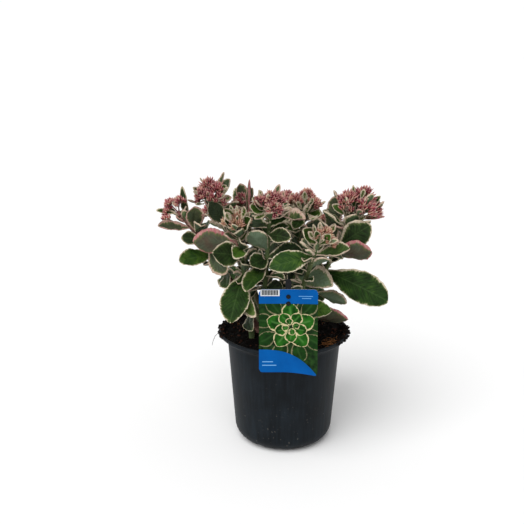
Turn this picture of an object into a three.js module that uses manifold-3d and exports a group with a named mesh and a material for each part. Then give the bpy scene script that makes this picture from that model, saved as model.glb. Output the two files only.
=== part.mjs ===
// A variegated autumn stonecrop (sedum) in a nursery pot: eleven fleshy leafy stems rise from one
// crown in the compost and fan out, each under a flat-topped head of closed buds. A printed card
// stands on a stake in front. Millimetres, +Z up, origin at the middle of the pot's foot, with the
// card facing -Y.
//
// Leaves sit on the stems in opposite pairs, each pair a quarter turn from the last. A leaf that
// would meet another stem's leaf, a head, the card or the pot is swung, lifted or shortened until
// it is clear. Heads are cymes: branches from one fork, each ending in a dome of buds.
import * as THREE from "three";
import { mergeVertices } from "three/addons/utils/BufferGeometryUtils.js";
import Module from "manifold-3d";

const wasm = await Module();
wasm.setup();

// ---------------------------------------------------------------- driving dimensions

const POT = {
  height: 150, rimRadius: 85, neckRadius: 74, neckBelowRim: 13, footRadius: 65,
  cornerRadius: 20, wall: 1.6, lipHeight: 4, floorLift: 5, sides: 36,
};
const NOTCH = { count: 4, first: -124, width: 13, height: 6.5 };
const COMPOST = { level: 145.6, mound: 3, gap: 0.5, lumps: 1.1, sides: 18, stemHole: 0.5 };
const CARD = {
  width: 70, height: 104, thick: 0.8, corner: 4, topZ: 231, topY: -83.5, lean: 3, middleX: 2.5,
  studDrop: [9, 17.5], studRadius: 2.3, holeGap: 0.35, curl: 14, flat: -5, columns: 14, rows: 12,
};
const STAKE = {
  width: 7, thick: 1.6, behind: 0.5, top: 243, bend: 205, foot: [-72, 147], tip: [-63, 104],
};

const SOIL_Z = 150; // where the stems leave the compost
const ROOT_Z = 118; // how deep their feet stand in it
const STEM = { footRadius: 3.9, topRadius: 2.5, sides: 6, rings: 5, bow: 0.3 };
const LEAF = { thick: 2, edge: 0.75, stalk: 0.16, wave: 1, fullness: 1.5 };
const BUD = { core: 6, swell: 4.6, radius: 2.8, length: 7.8 };
const HEAD = { stub: 5, gap: 0.3, reach: 17, tilt: 46, branchRadius: 1.6 };

const DEG = Math.PI / 180;
const GOLDEN_ANGLE = 137.508 * DEG;

// Each stem: where it leaves the compost, where its head forks, the first pair's compass angle, the
// head's size and number of branches, which way it nods (across and back), its longest leaf, and the
// pairs it has lost (0 the lowest).
const STEMS = {
  far_left: {
    foot: [-34, -4], top: [-130, -7, 303], turn: 70, size: 0.75, branches: 3, nod: [-0.5, 0],
    leaf: 56, lost: [0, 1, 2],
  },
  upper_left: {
    foot: [-24, 16], top: [-89, 26, 308], turn: 15, size: 1.08, branches: 5, nod: [0, 0],
    leaf: 58, lost: [0, 2],
  },
  front_left: {
    foot: [-42, -24], top: [-58, -38, 286], turn: 40, size: 0.85, branches: 4, nod: [0, 0],
    leaf: 60, lost: [0, 1],
  },
  middle: {
    foot: [-28, -16], top: [-19, -26, 308], turn: 100, size: 0.95, branches: 4, nod: [0, -0.6],
    leaf: 60, lost: [0],
  },
  middle_right: {
    foot: [4, 8], top: [26, 20, 296], turn: 60, size: 1, branches: 4, nod: [0, 0],
    leaf: 62, lost: [],
  },
  front_right: {
    foot: [6, -26], top: [38, -56, 274], turn: 20, size: 0.78, branches: 4, nod: [0.5, 0.3],
    leaf: 60, lost: [0, 2, 3, 4],
  },
  right: {
    foot: [20, -4], top: [86, 4, 290], turn: 85, size: 1.42, branches: 5, nod: [0, 0],
    leaf: 68, lost: [0, 1, 2],
  },
  inner_back: {
    foot: [-12, 26], top: [-51, 54, 290], turn: 50, size: 0.85, branches: 3, nod: [0, 0],
    leaf: 58, lost: [],
  },
  back_right: {
    foot: [18, 26], top: [62, 68, 258], turn: 30, size: 1, branches: 4, nod: [0, 0],
    leaf: 70, lost: [0, 3],
  },
  back: {
    foot: [0, 40], top: [6, 98, 280], turn: 75, size: 1, branches: 4, nod: [0, 0],
    leaf: 68, lost: [],
  },
  back_left: {
    foot: [-32, 30], top: [-86, 86, 276], turn: 10, size: 0.95, branches: 4, nod: [0, 0],
    leaf: 62, lost: [0],
  },
};

// Pairs up a stem: how far up, the leaf's rise above the horizon in degrees, and its length as a
// share of the stem's longest. Outer leaves hang lower and grow longer than those inside the clump.
const PAIRS = [
  { at: 0.2, rise: -6, share: 0.92 },
  { at: 0.36, rise: -10, share: 1 },
  { at: 0.51, rise: -6, share: 0.98 },
  { at: 0.65, rise: 2, share: 0.9 },
  { at: 0.78, rise: 12, share: 0.78 },
  { at: 0.9, rise: 24, share: 0.6 },
];
const CLUMP = { middle: [-15, 22], hang: 12, spread: 0.16 };

// The large or turned leaves that give the plant its outline: stem, how far up it, the tip's place,
// width, the bend along the leaf in degrees (its tip curving back), which way its upper face looks,
// and how far its sides are cupped.
const SET_LEAVES = [
  ["right", 0.56, [128, -45, 202], 42, 24, [0.1, -0.9, 0.5], 0.15],
  ["middle_right", 0.5, [59, -44, 222], 32, 34, [0.1, -0.85, 0.5], 0.2],
  ["right", 0.36, [80, -16, 190], 19, 10, [0, 0.9, 0.3], 0.3],
  ["front_right", 0.3, [56, -66, 197], 24, 30, [0.4, -0.8, 0.4], 0.3],
  ["right", 0.1, [80, -34, 175], 27, 14, [0, 0.9, 0.4], 0.3],
  ["front_left", 0.62, [-67, -80, 187], 37, 30, [-0.2, -0.85, 0.5], 0.15],
  ["middle", 0.56, [-49, -72, 224], 24, 40, [-0.3, -0.85, 0.4], 0.3],
  ["front_left", 0.44, [-36, -74, 193], 20, 60, [-0.5, -0.8, 0.3], 0.4],
  ["front_left", 0.2, [-40, -72, 174], 17, 24, [-0.3, -0.9, 0.3], 0.3],
  ["far_left", 0.5, [-71, -36, 218], 20, 20, [-0.4, -0.9, 0.2], 0.2],
  ["middle", 0.64, [-43, -50, 250], 24, 30, [-0.1, -0.9, 0.4], 0.2],
  ["middle", 0.72, [-44, -48, 292], 28, -20, [0.2, 0.95, 0.1], 0.15],
  ["front_right", 0.9, [-20, -72, 254], 28, 34, [-0.1, -0.85, 0.5], 0.25],
  ["middle", 0.84, [6, -50, 284], 20, 30, [0.1, -0.9, 0.4], 0.3],
  ["front_left", 0.8, [-88, -66, 271], 31, 30, [-0.1, -0.95, 0.3], 0.2],
  ["front_left", 0.86, [-69, -80, 268], 20, 30, [0.1, -0.9, 0.4], 0.3],
  ["far_left", 0.66, [-132, -30, 250], 26, 16, [0, -0.7, 0.7], 0.15],
  ["far_left", 0.7, [-83, -40, 235], 24, 30, [-0.3, -0.9, 0.3], 0.2],
  ["front_left", 0.9, [-114, -33, 277], 34, 16, [0, 0.98, 0.1], 0.2],
  ["far_left", 0.93, [-135, 2, 338], 12, -10, [-0.6, -0.8, 0.1], 0.3],
  ["far_left", 0.9, [-160, -22, 295], 18, -24, [0, -0.6, 0.8], 0.5],
  ["far_left", 0.86, [-112, -16, 317], 24, -20, [0.3, -0.9, 0.1], 0.2],
  ["far_left", 0.8, [-130, -18, 277], 18, 10, [0, -0.9, 0.4], 0.3],
  ["upper_left", 0.84, [-95, 0, 320], 22, -20, [0.1, -0.95, 0.2], 0.25],
  ["inner_back", 0.84, [-62, 90, 327], 20, -10, [0.1, -0.95, 0.2], 0.25],
  ["inner_back", 0.92, [-45, 28, 343], 10, -10, [0.95, -0.1, 0.2], 0.4],
  ["front_right", 0.93, [71, -76, 275], 22, -24, [0, -0.5, 0.85], 0.5],
  ["right", 0.82, [113, -18, 297], 34, 16, [0.1, -0.95, 0.3], 0.2],
  ["right", 0.72, [111, -24, 264], 32, -12, [0, 0.95, 0.3], 0.2],
  ["right", 0.66, [63, 16, 325], 26, -16, [-0.6, -0.75, 0.1], 0.25],
  ["middle", 0.38, [-2, -24, 215], 20, 30, [-0.3, -0.9, 0.3], 0.3],
  ["middle_right", 0.44, [4, 0, 226], 24, -30, [0.2, -0.9, 0.3], 0.3],
  ["middle_right", 0.88, [-6, -18, 290], 22, -14, [0, -0.6, 0.8], 0.35],
];

// The largest bracts among the buds, grown from their heads: head, the tip's place, width, bend, which
// way the upper face looks, and cupping.
const BRACTS = [
  ["far_left", [-161, -12, 311], 8, -20, [0, -0.7, 0.7], 0.4],
  ["upper_left", [-77, 26, 353], 9, -20, [-0.7, -0.6, 0.3], 0.4],
  ["upper_left", [-69, 14, 346], 18, -46, [-0.7, -0.6, 0.3], 0.4],
  ["upper_left", [-117, 16, 335], 10, -40, [0.4, -0.7, 0.5], 0.4],
  ["front_left", [-74, -56, 322], 20, -60, [0.6, -0.7, 0.4], 0.5],
  ["front_left", [-42, -58, 311], 18, -60, [-0.6, -0.7, 0.4], 0.5],
  ["middle", [-41, -34, 331], 18, -50, [0.6, -0.7, 0.4], 0.5],
  ["middle", [-3, -28, 322], 9, -30, [-0.6, -0.7, 0.3], 0.5],
  ["middle", [-7, -18, 345], 9, -10, [-0.3, -0.9, 0.2], 0.4],
  ["middle_right", [46, 10, 313], 12, -30, [-0.3, -0.6, 0.7], 0.4],
  ["middle_right", [2, 4, 310], 9, -20, [0.3, -0.9, 0.2], 0.4],
  ["front_right", [19, -72, 301], 20, -60, [0.6, -0.7, 0.4], 0.5],
  ["front_right", [34, -74, 300], 10, -20, [0.1, -0.95, 0.2], 0.3],
  ["front_right", [52, -72, 295], 13, -20, [-0.1, -0.95, 0.2], 0.3],
  ["right", [86, 6, 340], 7, -10, [-0.3, -0.9, 0.2], 0.4],
  ["right", [121, 4, 326], 12, -30, [-0.4, -0.8, 0.4], 0.4],
  ["right", [126, -4, 301], 6, -20, [0, -0.7, 0.7], 0.4],
];

// ---------------------------------------------------------------- small maths

const add = (a, b, k = 1) => [a[0] + b[0] * k, a[1] + b[1] * k, a[2] + b[2] * k];
const minus = (a, b) => add(a, b, -1);
const scaled = (a, k) => [a[0] * k, a[1] * k, a[2] * k];
const dot = (a, b) => a[0] * b[0] + a[1] * b[1] + a[2] * b[2];
const cross = (a, b) => [
  a[1] * b[2] - a[2] * b[1], a[2] * b[0] - a[0] * b[2], a[0] * b[1] - a[1] * b[0],
];
const unit = (a) => scaled(a, 1 / Math.sqrt(dot(a, a)));
const mix = (a, b, t) => a + (b - a) * t;

// Two directions square to a direction, and to each other.
function sideways(direction) {
  const across = unit(cross([0, 1, 0], direction));
  return [across, cross(direction, across)];
}

// A seeded draw (Park and Miller's), so every build is the same plant.
function seededDraw(seed) {
  let state = seed;
  return (low, high) => {
    state = (state * 16807) % 2147483647;
    return low + ((high - low) * state) / 2147483647;
  };
}

// ---------------------------------------------------------------- solids

// A geometry as a manifold solid, with its shared corners merged.
function solidOf(geometry) {
  const bare = new THREE.BufferGeometry();
  bare.setAttribute("position", geometry.getAttribute("position"));
  bare.setIndex(geometry.index);
  const merged = mergeVertices(bare, 1e-4);
  return new wasm.Manifold(new wasm.Mesh({
    numProp: 3,
    vertProperties: merged.getAttribute("position").array,
    triVerts: new Uint32Array(merged.index.array),
  }));
}

// A manifold solid as a geometry.
function geometryOf(solid) {
  const mesh = solid.getMesh();
  const geometry = new THREE.BufferGeometry();
  geometry.setAttribute("position", new THREE.BufferAttribute(mesh.vertProperties, 3));
  geometry.setIndex(new THREE.BufferAttribute(mesh.triVerts, 1));
  geometry.computeVertexNormals();
  return geometry;
}

// Solids fused into one, with any sealed pocket between them filled.
function joined(geometries) {
  const fused = wasm.Manifold.union(geometries.map(solidOf));
  const shells = solidOf(geometryOf(fused)).decompose();
  return shells.reduce((a, b) => (b.volume() > a.volume() ? b : a));
}

// A closed skin over rings of equally many corners. Either end may be drawn in to one point. Quads
// from corner `flip` on are cut along the other diagonal, so a blade's two faces match.
function skin(rings, { foot = null, tip = null, flip = Infinity } = {}) {
  const count = rings[0].length;
  const corners = rings.flat();
  const faces = [];
  for (let i = 0; i + 1 < rings.length; i++) {
    for (let k = 0; k < count; k++) {
      const a = i * count + k;
      const b = i * count + ((k + 1) % count);
      if (k < flip) faces.push(a, b, b + count, a, b + count, a + count);
      else faces.push(a, b, a + count, b, b + count, a + count);
    }
  }
  const last = (rings.length - 1) * count;
  for (let k = 0; k < count; k++) {
    const next = (k + 1) % count;
    if (foot) faces.push(corners.length, next, k);
    else if (k && next) faces.push(0, next, k);
  }
  if (foot) corners.push(foot);
  for (let k = 0; k < count; k++) {
    const next = (k + 1) % count;
    if (tip) faces.push(last + k, last + next, corners.length);
    else if (k && next) faces.push(last, last + k, last + next);
  }
  if (tip) corners.push(tip);
  const geometry = new THREE.BufferGeometry();
  geometry.setAttribute("position", new THREE.Float32BufferAttribute(corners.flat(), 3));
  geometry.setIndex(faces);
  return geometry;
}

// A ring of corners round a centre, square to a direction.
function ring(centre, direction, radius, sides) {
  const [right, up] = sideways(direction);
  return Array.from({ length: sides }, (_, k) => {
    const angle = (2 * Math.PI * k) / sides;
    return add(add(centre, right, radius * Math.cos(angle)), up, radius * Math.sin(angle));
  });
}

function named(name, geometry, colour, roughness) {
  const material = new THREE.MeshStandardMaterial({ color: colour, roughness, metalness: 0 });
  const mesh = new THREE.Mesh(geometry, material);
  mesh.name = name;
  return mesh;
}

// ---------------------------------------------------------------- pot

// The wall's radius at a height: a slight taper, then the flare under the rim.
function potRadius(z) {
  const neckZ = POT.height - POT.neckBelowRim;
  if (z <= neckZ) {
    const up = (z - POT.cornerRadius) / (neckZ - POT.cornerRadius);
    return mix(POT.footRadius, POT.neckRadius, up);
  }
  const flare = Math.min(1, (z - neckZ) / (POT.neckBelowRim - POT.lipHeight));
  return mix(POT.neckRadius, POT.rimRadius - POT.wall, flare ** 1.6);
}

function potGeometry() {
  const { height, rimRadius, wall, cornerRadius: r, footRadius, lipHeight, floorLift } = POT;
  const outside = [];
  for (const a of [0, 30, 60, 90]) {
    outside.push([footRadius - r + r * Math.sin(a * DEG), r - r * Math.cos(a * DEG)]);
  }
  for (const z of [137, 142]) outside.push([potRadius(z), z]);
  outside.push([potRadius(height - lipHeight), height - lipHeight]);
  outside.push([rimRadius, height - lipHeight], [rimRadius, height]);
  const inside = [[rimRadius - 2.6, height]];
  for (const z of [146, 142, 137]) inside.push([potRadius(z) - wall, z]);
  for (const a of [90, 45, 0]) {
    const reach = r - wall;
    inside.push([footRadius - r + reach * Math.sin(a * DEG), r + floorLift - reach * Math.cos(a * DEG)]);
  }
  const profile = [[0, 0], ...outside, ...inside, [0, floorLift + wall]];
  const lathe = new THREE.LatheGeometry(
    profile.map(([x, z]) => new THREE.Vector2(x, z)), POT.sides,
  );
  let pot = solidOf(lathe.rotateX(Math.PI / 2));
  for (let k = 0; k < NOTCH.count; k++) {
    const slot = new THREE.BoxGeometry(60, NOTCH.width, 2 * NOTCH.height);
    slot.translate(62, 0, 0).rotateZ((NOTCH.first + (360 / NOTCH.count) * k) * DEG);
    pot = pot.subtract(solidOf(slot));
  }
  return pot;
}

// ---------------------------------------------------------------- leaves and stems

// A stem's middle line, from the compost (0) to the fork under its head (1).
function stemPoint(stem, u) {
  const out = (1 - STEM.bow) * u + STEM.bow * u * u;
  return [
    mix(stem.foot[0], stem.top[0], out),
    mix(stem.foot[1], stem.top[1], out),
    mix(SOIL_Z, stem.top[2], u),
  ];
}

function stemDirection(stem, u) {
  return unit(minus(stemPoint(stem, u + 0.01), stemPoint(stem, u - 0.01)));
}

function stemGeometry(stem) {
  const rings = [ring([...stem.foot, ROOT_Z], [0, 0, 1], STEM.footRadius, STEM.sides)];
  for (let i = 0; i <= STEM.rings; i++) {
    const u = i / STEM.rings;
    const direction = i ? stemDirection(stem, u) : [0, 0, 1];
    rings.push(ring(stemPoint(stem, u), direction, mix(STEM.footRadius, STEM.topRadius, u), STEM.sides));
  }
  return skin(rings);
}

// A blade from its base to its tip.
function bladeTo(base, tip, width, bend, facing, cup) {
  const way = minus(tip, base);
  return {
    base, width, facing, cup,
    bend: bend * DEG,
    heading: Math.atan2(way[1], way[0]),
    rise: Math.atan2(way[2], Math.hypot(way[0], way[1])),
    length: Math.sqrt(dot(way, way)),
  };
}

function leafTo(stem, at, ...shape) {
  return { stem, ...bladeTo(stemPoint(stem, at), ...shape) };
}

// Half the blade's width at s along it, as a share: a narrow foot, widest past the middle, and a
// blunt round tip.
function outline(s) {
  if (s <= 0) return 0;
  return Math.sin(Math.PI * s ** LEAF.fullness) ** (0.85 - 0.35 * s) + LEAF.stalk * (1 - s) ** 4;
}

// The blade's middle surface at s along it (0 to 1) and t across it (-1 to 1), and its normal. It
// follows an even arc from base to tip, in the plane its upper face looks along.
function bladePoint(leaf, s, t) {
  const level = Math.cos(leaf.rise);
  const chord = [level * Math.cos(leaf.heading), level * Math.sin(leaf.heading), Math.sin(leaf.rise)];
  const side = unit(cross(leaf.facing, chord));
  const face = cross(chord, side);
  const angle = leaf.bend * (0.5 - s);
  const arc = leaf.length / 2 / Math.sin(leaf.bend / 2);
  const out = arc * (Math.sin(leaf.bend / 2) - Math.sin(angle));
  const up = arc * (Math.cos(angle) - Math.cos(leaf.bend / 2));
  const normal = add(scaled(face, Math.cos(angle)), chord, -Math.sin(angle));
  const half = (leaf.width / 2) * outline(s);
  const ripple = LEAF.wave * Math.sin(9 * s + 7 * leaf.heading + (t > 0 ? 2 : 0)) * Math.min(1, half / 8);
  const centre = add(add(leaf.base, chord, out), face, up);
  return { point: add(add(centre, side, half * t), normal, (leaf.cup * half + ripple) * t * t), normal };
}

// How far along a long leaf, and a short one, its rings stand.
const FULL_LEAF = [0.2, 0.43, 0.67, 0.89];
const SMALL_LEAF = [0.24, 0.54, 0.84];

// A blade as a solid of a few rings: three corners across each face, and a true thickness at its rim.
function bladeGeometry(leaf, stations) {
  const rings = stations.map((s) => {
    const upper = [];
    const lower = [];
    for (const t of [-1, 0, 1]) {
      const { point, normal } = bladePoint(leaf, s, t);
      const half = (t ? LEAF.edge : LEAF.thick) / 2;
      upper.push(add(point, normal, half));
      lower.unshift(add(point, normal, -half));
    }
    return [...upper, ...lower].reverse();
  });
  const foot = bladePoint(leaf, -2.5 / leaf.length, 0).point;
  return skin(rings, { foot, tip: bladePoint(leaf, 1, 0).point, flip: 3 });
}

// ---------------------------------------------------------------- keeping clear

const GRID_ALONG = 10;
const GRID_ACROSS = [-1, -0.6, -0.2, 0.2, 0.6, 1];
const LEAF_GAP = 5.8; // between sample points of two stems' leaves
const SAME_STEM_GAP = 4.2;
const FREE_PART = 0.34; // leaves of one stem may touch below this share of their length

// Sample points over a blade, with how far along it each lies.
function bladeSamples(leaf) {
  const samples = [];
  for (let i = 1; i <= GRID_ALONG; i++) {
    const s = 0.06 + (0.94 * i) / GRID_ALONG;
    for (const t of GRID_ACROSS) samples.push([...bladePoint(leaf, s, t).point, s]);
  }
  return samples;
}

// Is a blade clear of the compost and the pot's rim?
function aboveGround(samples) {
  return samples.every(([x, y, z]) => {
    const out = Math.hypot(x, y);
    return z > POT.height + (out < POT.rimRadius + 4 ? 2.5 : -6);
  });
}

function clearOf(samples, stem, obstacles) {
  for (const other of obstacles) {
    const own = other.stem === stem;
    if (own && other.kind === "stem") continue;
    const gap = other.kind !== "leaf" ? other.gap : own ? SAME_STEM_GAP : LEAF_GAP;
    for (const p of samples) {
      if (own && other.kind === "leaf" && p[3] < FREE_PART) continue;
      for (const q of other.points) {
        if (own && other.kind === "leaf" && q[3] < FREE_PART) continue;
        const dx = p[0] - q[0];
        const dy = p[1] - q[1];
        const dz = p[2] - q[2];
        if (dx * dx + dy * dy + dz * dz < gap * gap) return false;
      }
    }
  }
  return true;
}

// The ways a crowded leaf gives: swing and lift in degrees, and its length as a share.
const GIVES = [[0, 0, 1]];
for (const share of [1, 0.88, 0.76, 0.64]) {
  for (const [swing, lift] of [
    [0, 0], [9, 0], [-9, 0], [0, 9], [0, -9], [18, 0], [-18, 0], [0, 18], [0, -18],
    [14, 14], [-14, 14], [28, 0], [-28, 0], [0, 28], [24, 20], [-24, 20], [38, 6], [-38, 6],
  ]) GIVES.push([swing, lift, share]);
}

// The leaf in the first way it can lie clear, or null where there is no room for it.
function settled(leaf, obstacles) {
  for (const [swing, lift, share] of GIVES) {
    const tried = {
      ...leaf,
      heading: leaf.heading + swing * DEG,
      rise: leaf.rise + lift * DEG,
      length: leaf.length * share,
      width: leaf.width * share,
    };
    const samples = bladeSamples(tried);
    if (aboveGround(samples) && clearOf(samples, leaf.stem, obstacles)) return { tried, samples };
  }
  return null;
}

// ---------------------------------------------------------------- heads

// The twenty faces of a bud dome's core, as corners at unit distance, with one face on top.
const CORE_FACES = (() => {
  const solid = new THREE.IcosahedronGeometry(1);
  const at = (k) => new THREE.Vector3().fromBufferAttribute(solid.getAttribute("position"), k);
  const top = at(0).add(at(1)).add(at(2)).normalize();
  const turn = new THREE.Quaternion().setFromUnitVectors(top, new THREE.Vector3(0, 0, 1));
  solid.applyQuaternion(turn);
  return Array.from({ length: 20 }, (_, f) => [0, 1, 2].map((c) => at(3 * f + c).toArray()));
})();

// A head's frame: its fork, its axis, each branch's dome of buds, and its bracts.
function headPlan(name, turn) {
  const stem = STEMS[name];
  const lean = stemDirection(stem, 1);
  const axis = unit(add(lean, [...stem.nod, 0.5]));
  const [right, up] = sideways(axis);
  const foot = add(stem.top, lean, HEAD.gap);
  const fork = add(foot, axis, HEAD.stub * stem.size);
  const domes = [];
  for (let k = 0; k < stem.branches; k++) {
    const tilt = k ? HEAD.tilt * DEG : 0;
    const angle = turn + (2 * Math.PI * k) / (stem.branches - 1);
    const out = add(scaled(right, Math.cos(angle)), up, Math.sin(angle));
    const way = add(scaled(axis, Math.cos(tilt)), out, Math.sin(tilt));
    const reach = HEAD.reach * stem.size * (k ? 1 : 1.15);
    domes.push({ way, centre: add(fork, way, reach), axis: unit(add(way, axis, 0.7)) });
  }
  const own = BRACTS.filter((row) => row[0] === name);
  const bracts = own.map(([, ...shape]) => bladeTo(fork, ...shape));
  return { lean, axis, foot, fork, domes, bracts, size: stem.size };
}

// One dome of a head: a faceted core whose upper faces are each drawn out into a pointed bud, and
// whose lowest face is drawn down into the branch that carries it.
function domeGeometry(dome, fork, size) {
  const [right, up] = sideways(dome.axis);
  const place = ([x, y, z]) => (
    add(add(add(dome.centre, right, x * size), up, y * size), dome.axis, z * size)
  );
  const corners = [];
  const faces = [];
  const put = (point) => corners.push(point) - 1;
  const wall = (low, high) => {
    for (const [i, j] of [[0, 1], [1, 2], [2, 0]]) {
      faces.push(low[i], low[j], high[j], low[i], high[j], high[i]);
    }
  };
  const core = CORE_FACES.map((face) => face.map((p) => scaled(p, BUD.core)));
  for (const face of core) {
    const middle = scaled(add(add(face[0], face[1]), face[2]), 1 / 3);
    const way = unit(middle);
    const low = face.map((p) => put(place(p)));
    if (way[2] > 0.2) {
      const high = face.map((p) => put(place(
        add(add(middle, way, BUD.swell), unit(minus(p, middle)), BUD.radius),
      )));
      const tip = put(place(add(middle, way, BUD.length)));
      wall(low, high);
      for (const [i, j] of [[0, 1], [1, 2], [2, 0]]) faces.push(high[i], high[j], tip);
    } else if (way[2] < -0.9) {
      const high = face.map((p) => put(add(
        add(fork, dome.way, -0.5),
        minus(place(scaled(unit(minus(p, middle)), HEAD.branchRadius)), place([0, 0, 0])),
      )));
      wall(low, high);
      faces.push(...high);
    } else faces.push(...low);
  }
  const geometry = new THREE.BufferGeometry();
  geometry.setAttribute("position", new THREE.Float32BufferAttribute(corners.flat(), 3));
  geometry.setIndex(faces);
  return geometry;
}

function headGeometry(head) {
  const { size } = head;
  const stub = skin([
    ring(head.foot, head.lean, STEM.topRadius * 0.95, 6),
    ring(add(head.fork, head.axis, 1), head.axis, 2.2 * size, 6),
  ]);
  const domes = head.domes.map((dome) => domeGeometry(dome, head.fork, size));
  return joined([stub, ...domes, ...head.bracts.map((bract) => bladeGeometry(bract, SMALL_LEAF))]);
}

// ---------------------------------------------------------------- card and stake

// The card's own frame: x across, y down from its top edge, z out of its printed face.
function cardPlace(geometry) {
  return geometry.rotateX((90 - CARD.lean) * DEG).translate(CARD.middleX, CARD.topY, CARD.topZ);
}

function roundedRectangle(width, top, bottom, radius) {
  const shape = new THREE.Shape();
  const half = width / 2;
  shape.moveTo(-half + radius, bottom);
  shape.lineTo(half - radius, bottom);
  shape.absarc(half - radius, bottom + radius, radius, -Math.PI / 2, 0);
  shape.lineTo(half, top - radius);
  shape.absarc(half - radius, top - radius, radius, 0, Math.PI / 2);
  shape.lineTo(-half + radius, top);
  shape.absarc(-half + radius, top - radius, radius, Math.PI / 2, Math.PI);
  shape.lineTo(-half, bottom + radius);
  shape.absarc(-half + radius, bottom + radius, radius, Math.PI, 1.5 * Math.PI);
  return shape;
}

// The corners of a stud, or of the hole round it, at a drop below the card's top edge.
function studCorners(drop, radius) {
  return Array.from({ length: 8 }, (_, k) => {
    const angle = (k * Math.PI) / 4;
    return new THREE.Vector2(radius * Math.cos(angle), radius * Math.sin(angle) - drop);
  });
}

// How far the card curls forward at a place across and down it: not at all at the left, and most at
// its lower right corner.
function cardCurl(x, down) {
  const across = Math.max(0, (x - CARD.flat) / (CARD.width / 2 - CARD.flat));
  return CARD.curl * across ** 1.6 * (0.12 + 0.88 * (down / CARD.height) ** 1.5);
}

function cardSolid() {
  const { width, height, thick, columns, rows } = CARD;
  const rings = Array.from({ length: columns + 1 }, (_, i) => {
    const x = -width / 2 + (width * i) / columns;
    const front = [];
    const back = [];
    for (let k = 0; k <= rows; k++) {
      const down = (height * k) / rows;
      front.push([x, -down, cardCurl(x, down) + thick]);
      back.unshift([x, -down, cardCurl(x, down)]);
    }
    return [...front, ...back];
  });
  const prism = (shape) => solidOf(new THREE.ExtrudeGeometry(shape, {
    depth: CARD.curl + 4, bevelEnabled: false, curveSegments: 3,
  }).translate(0, 0, -2));
  let card = solidOf(skin(rings)).intersect(prism(roundedRectangle(width, 0, -height, CARD.corner)));
  for (const drop of CARD.studDrop) {
    card = card.subtract(prism(new THREE.Shape(studCorners(drop, CARD.studRadius + CARD.holeGap))));
  }
  return solidOf(cardPlace(geometryOf(card)));
}

// How far back the card's rear face stands at a height.
const cardBack = (z) => CARD.topY - (CARD.topZ - z) * Math.tan(CARD.lean * DEG);

// The stake's strip, with a margin all round: straight behind the card's studs, then bent back over
// the rim and down into the compost, to a pointed foot. Each place is [y, z, half width].
function stakeSkin(places, margin) {
  const [front, rear] = [-margin, STAKE.thick + margin];
  return skin(places.map(([y, z, half]) => [
    [CARD.middleX - half - margin, y + front, z], [CARD.middleX + half + margin, y + front, z],
    [CARD.middleX + half + margin, y + rear, z], [CARD.middleX - half - margin, y + rear, z],
  ]));
}

function stakePlaces() {
  const { width, top, bend, behind, foot, tip } = STAKE;
  const along = (z) => cardBack(z) + behind;
  const ahead = (foot[0] - tip[0]) / (foot[1] - tip[1]);
  return {
    above: [
      [along(bend), bend, width / 2], [along(top - 3), top - 3, width / 2], [along(top), top, 1.5],
    ],
    foot: [
      [...tip, 0.6], [tip[0] + 9 * ahead, tip[1] + 9, width / 2], [...foot, width / 2],
    ],
    clear: [foot[0] + 20 * ahead, foot[1] + 20, width / 2],
    below: [tip[0] - ahead, tip[1] - 1, 0.6],
  };
}

function stakeSolid() {
  const { above, foot } = stakePlaces();
  const pieces = [stakeSkin([...foot, ...above], 0)];
  for (const drop of CARD.studDrop) {
    const [back, front] = [STAKE.behind + 0.6, CARD.thick + 1.2];
    const stud = new THREE.ExtrudeGeometry(new THREE.Shape(studCorners(drop, CARD.studRadius)), {
      depth: back + front, bevelEnabled: false,
    });
    pieces.push(cardPlace(stud.translate(0, 0, -back)));
  }
  return joined(pieces);
}

// ---------------------------------------------------------------- compost

// The surface's height: a low mound with lumps, down to the level at the wall.
function compostHeight(x, y) {
  const out = Math.hypot(x, y) / 75;
  const lumps = Math.sin(x * 0.21 + 1) * Math.cos(y * 0.26) + 0.6 * Math.sin(x * 0.13 - y * 0.34);
  return COMPOST.level + COMPOST.mound * (1 - out * out) + COMPOST.lumps * lumps * (1 - out ** 6);
}

function compostSolid(stems) {
  const { gap, sides } = COMPOST;
  const floor = POT.floorLift + POT.wall + gap;
  const wallAt = (z) => potRadius(z) - POT.wall - gap;
  const rings = [];
  const level = (radius, z) => Array.from({ length: sides }, (_, k) => {
    const angle = (2 * Math.PI * k) / sides;
    const [x, y] = [radius * Math.cos(angle), radius * Math.sin(angle)];
    return [x, y, z ?? compostHeight(x, y)];
  });
  const foot = POT.footRadius - POT.cornerRadius;
  rings.push(level(foot - 1, floor), level(foot + 12, floor + 6), level(POT.footRadius - 4, floor + 22));
  for (const z of [137, 142, 145]) rings.push(level(wallAt(z), z));
  for (const radius of [70, 52, 34, 17]) rings.push(level(radius));
  let body = solidOf(skin(rings, { tip: [0, 0, compostHeight(0, 0)] }));
  for (const stem of stems) {
    const hole = skin([ROOT_Z - 1, 170].map((z) => (
      ring([...stem.foot, z], [0, 0, 1], STEM.footRadius + COMPOST.stemHole, STEM.sides)
    )));
    body = body.subtract(solidOf(hole));
  }
  const stake = stakePlaces();
  return body.subtract(solidOf(stakeSkin([stake.below, ...stake.foot, stake.clear], 0.4)));
}

// ---------------------------------------------------------------- the plant

function rowOfPoints(from, to, count) {
  return Array.from({ length: count + 1 }, (_, k) => add(from, minus(to, from), k / count));
}

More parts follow.
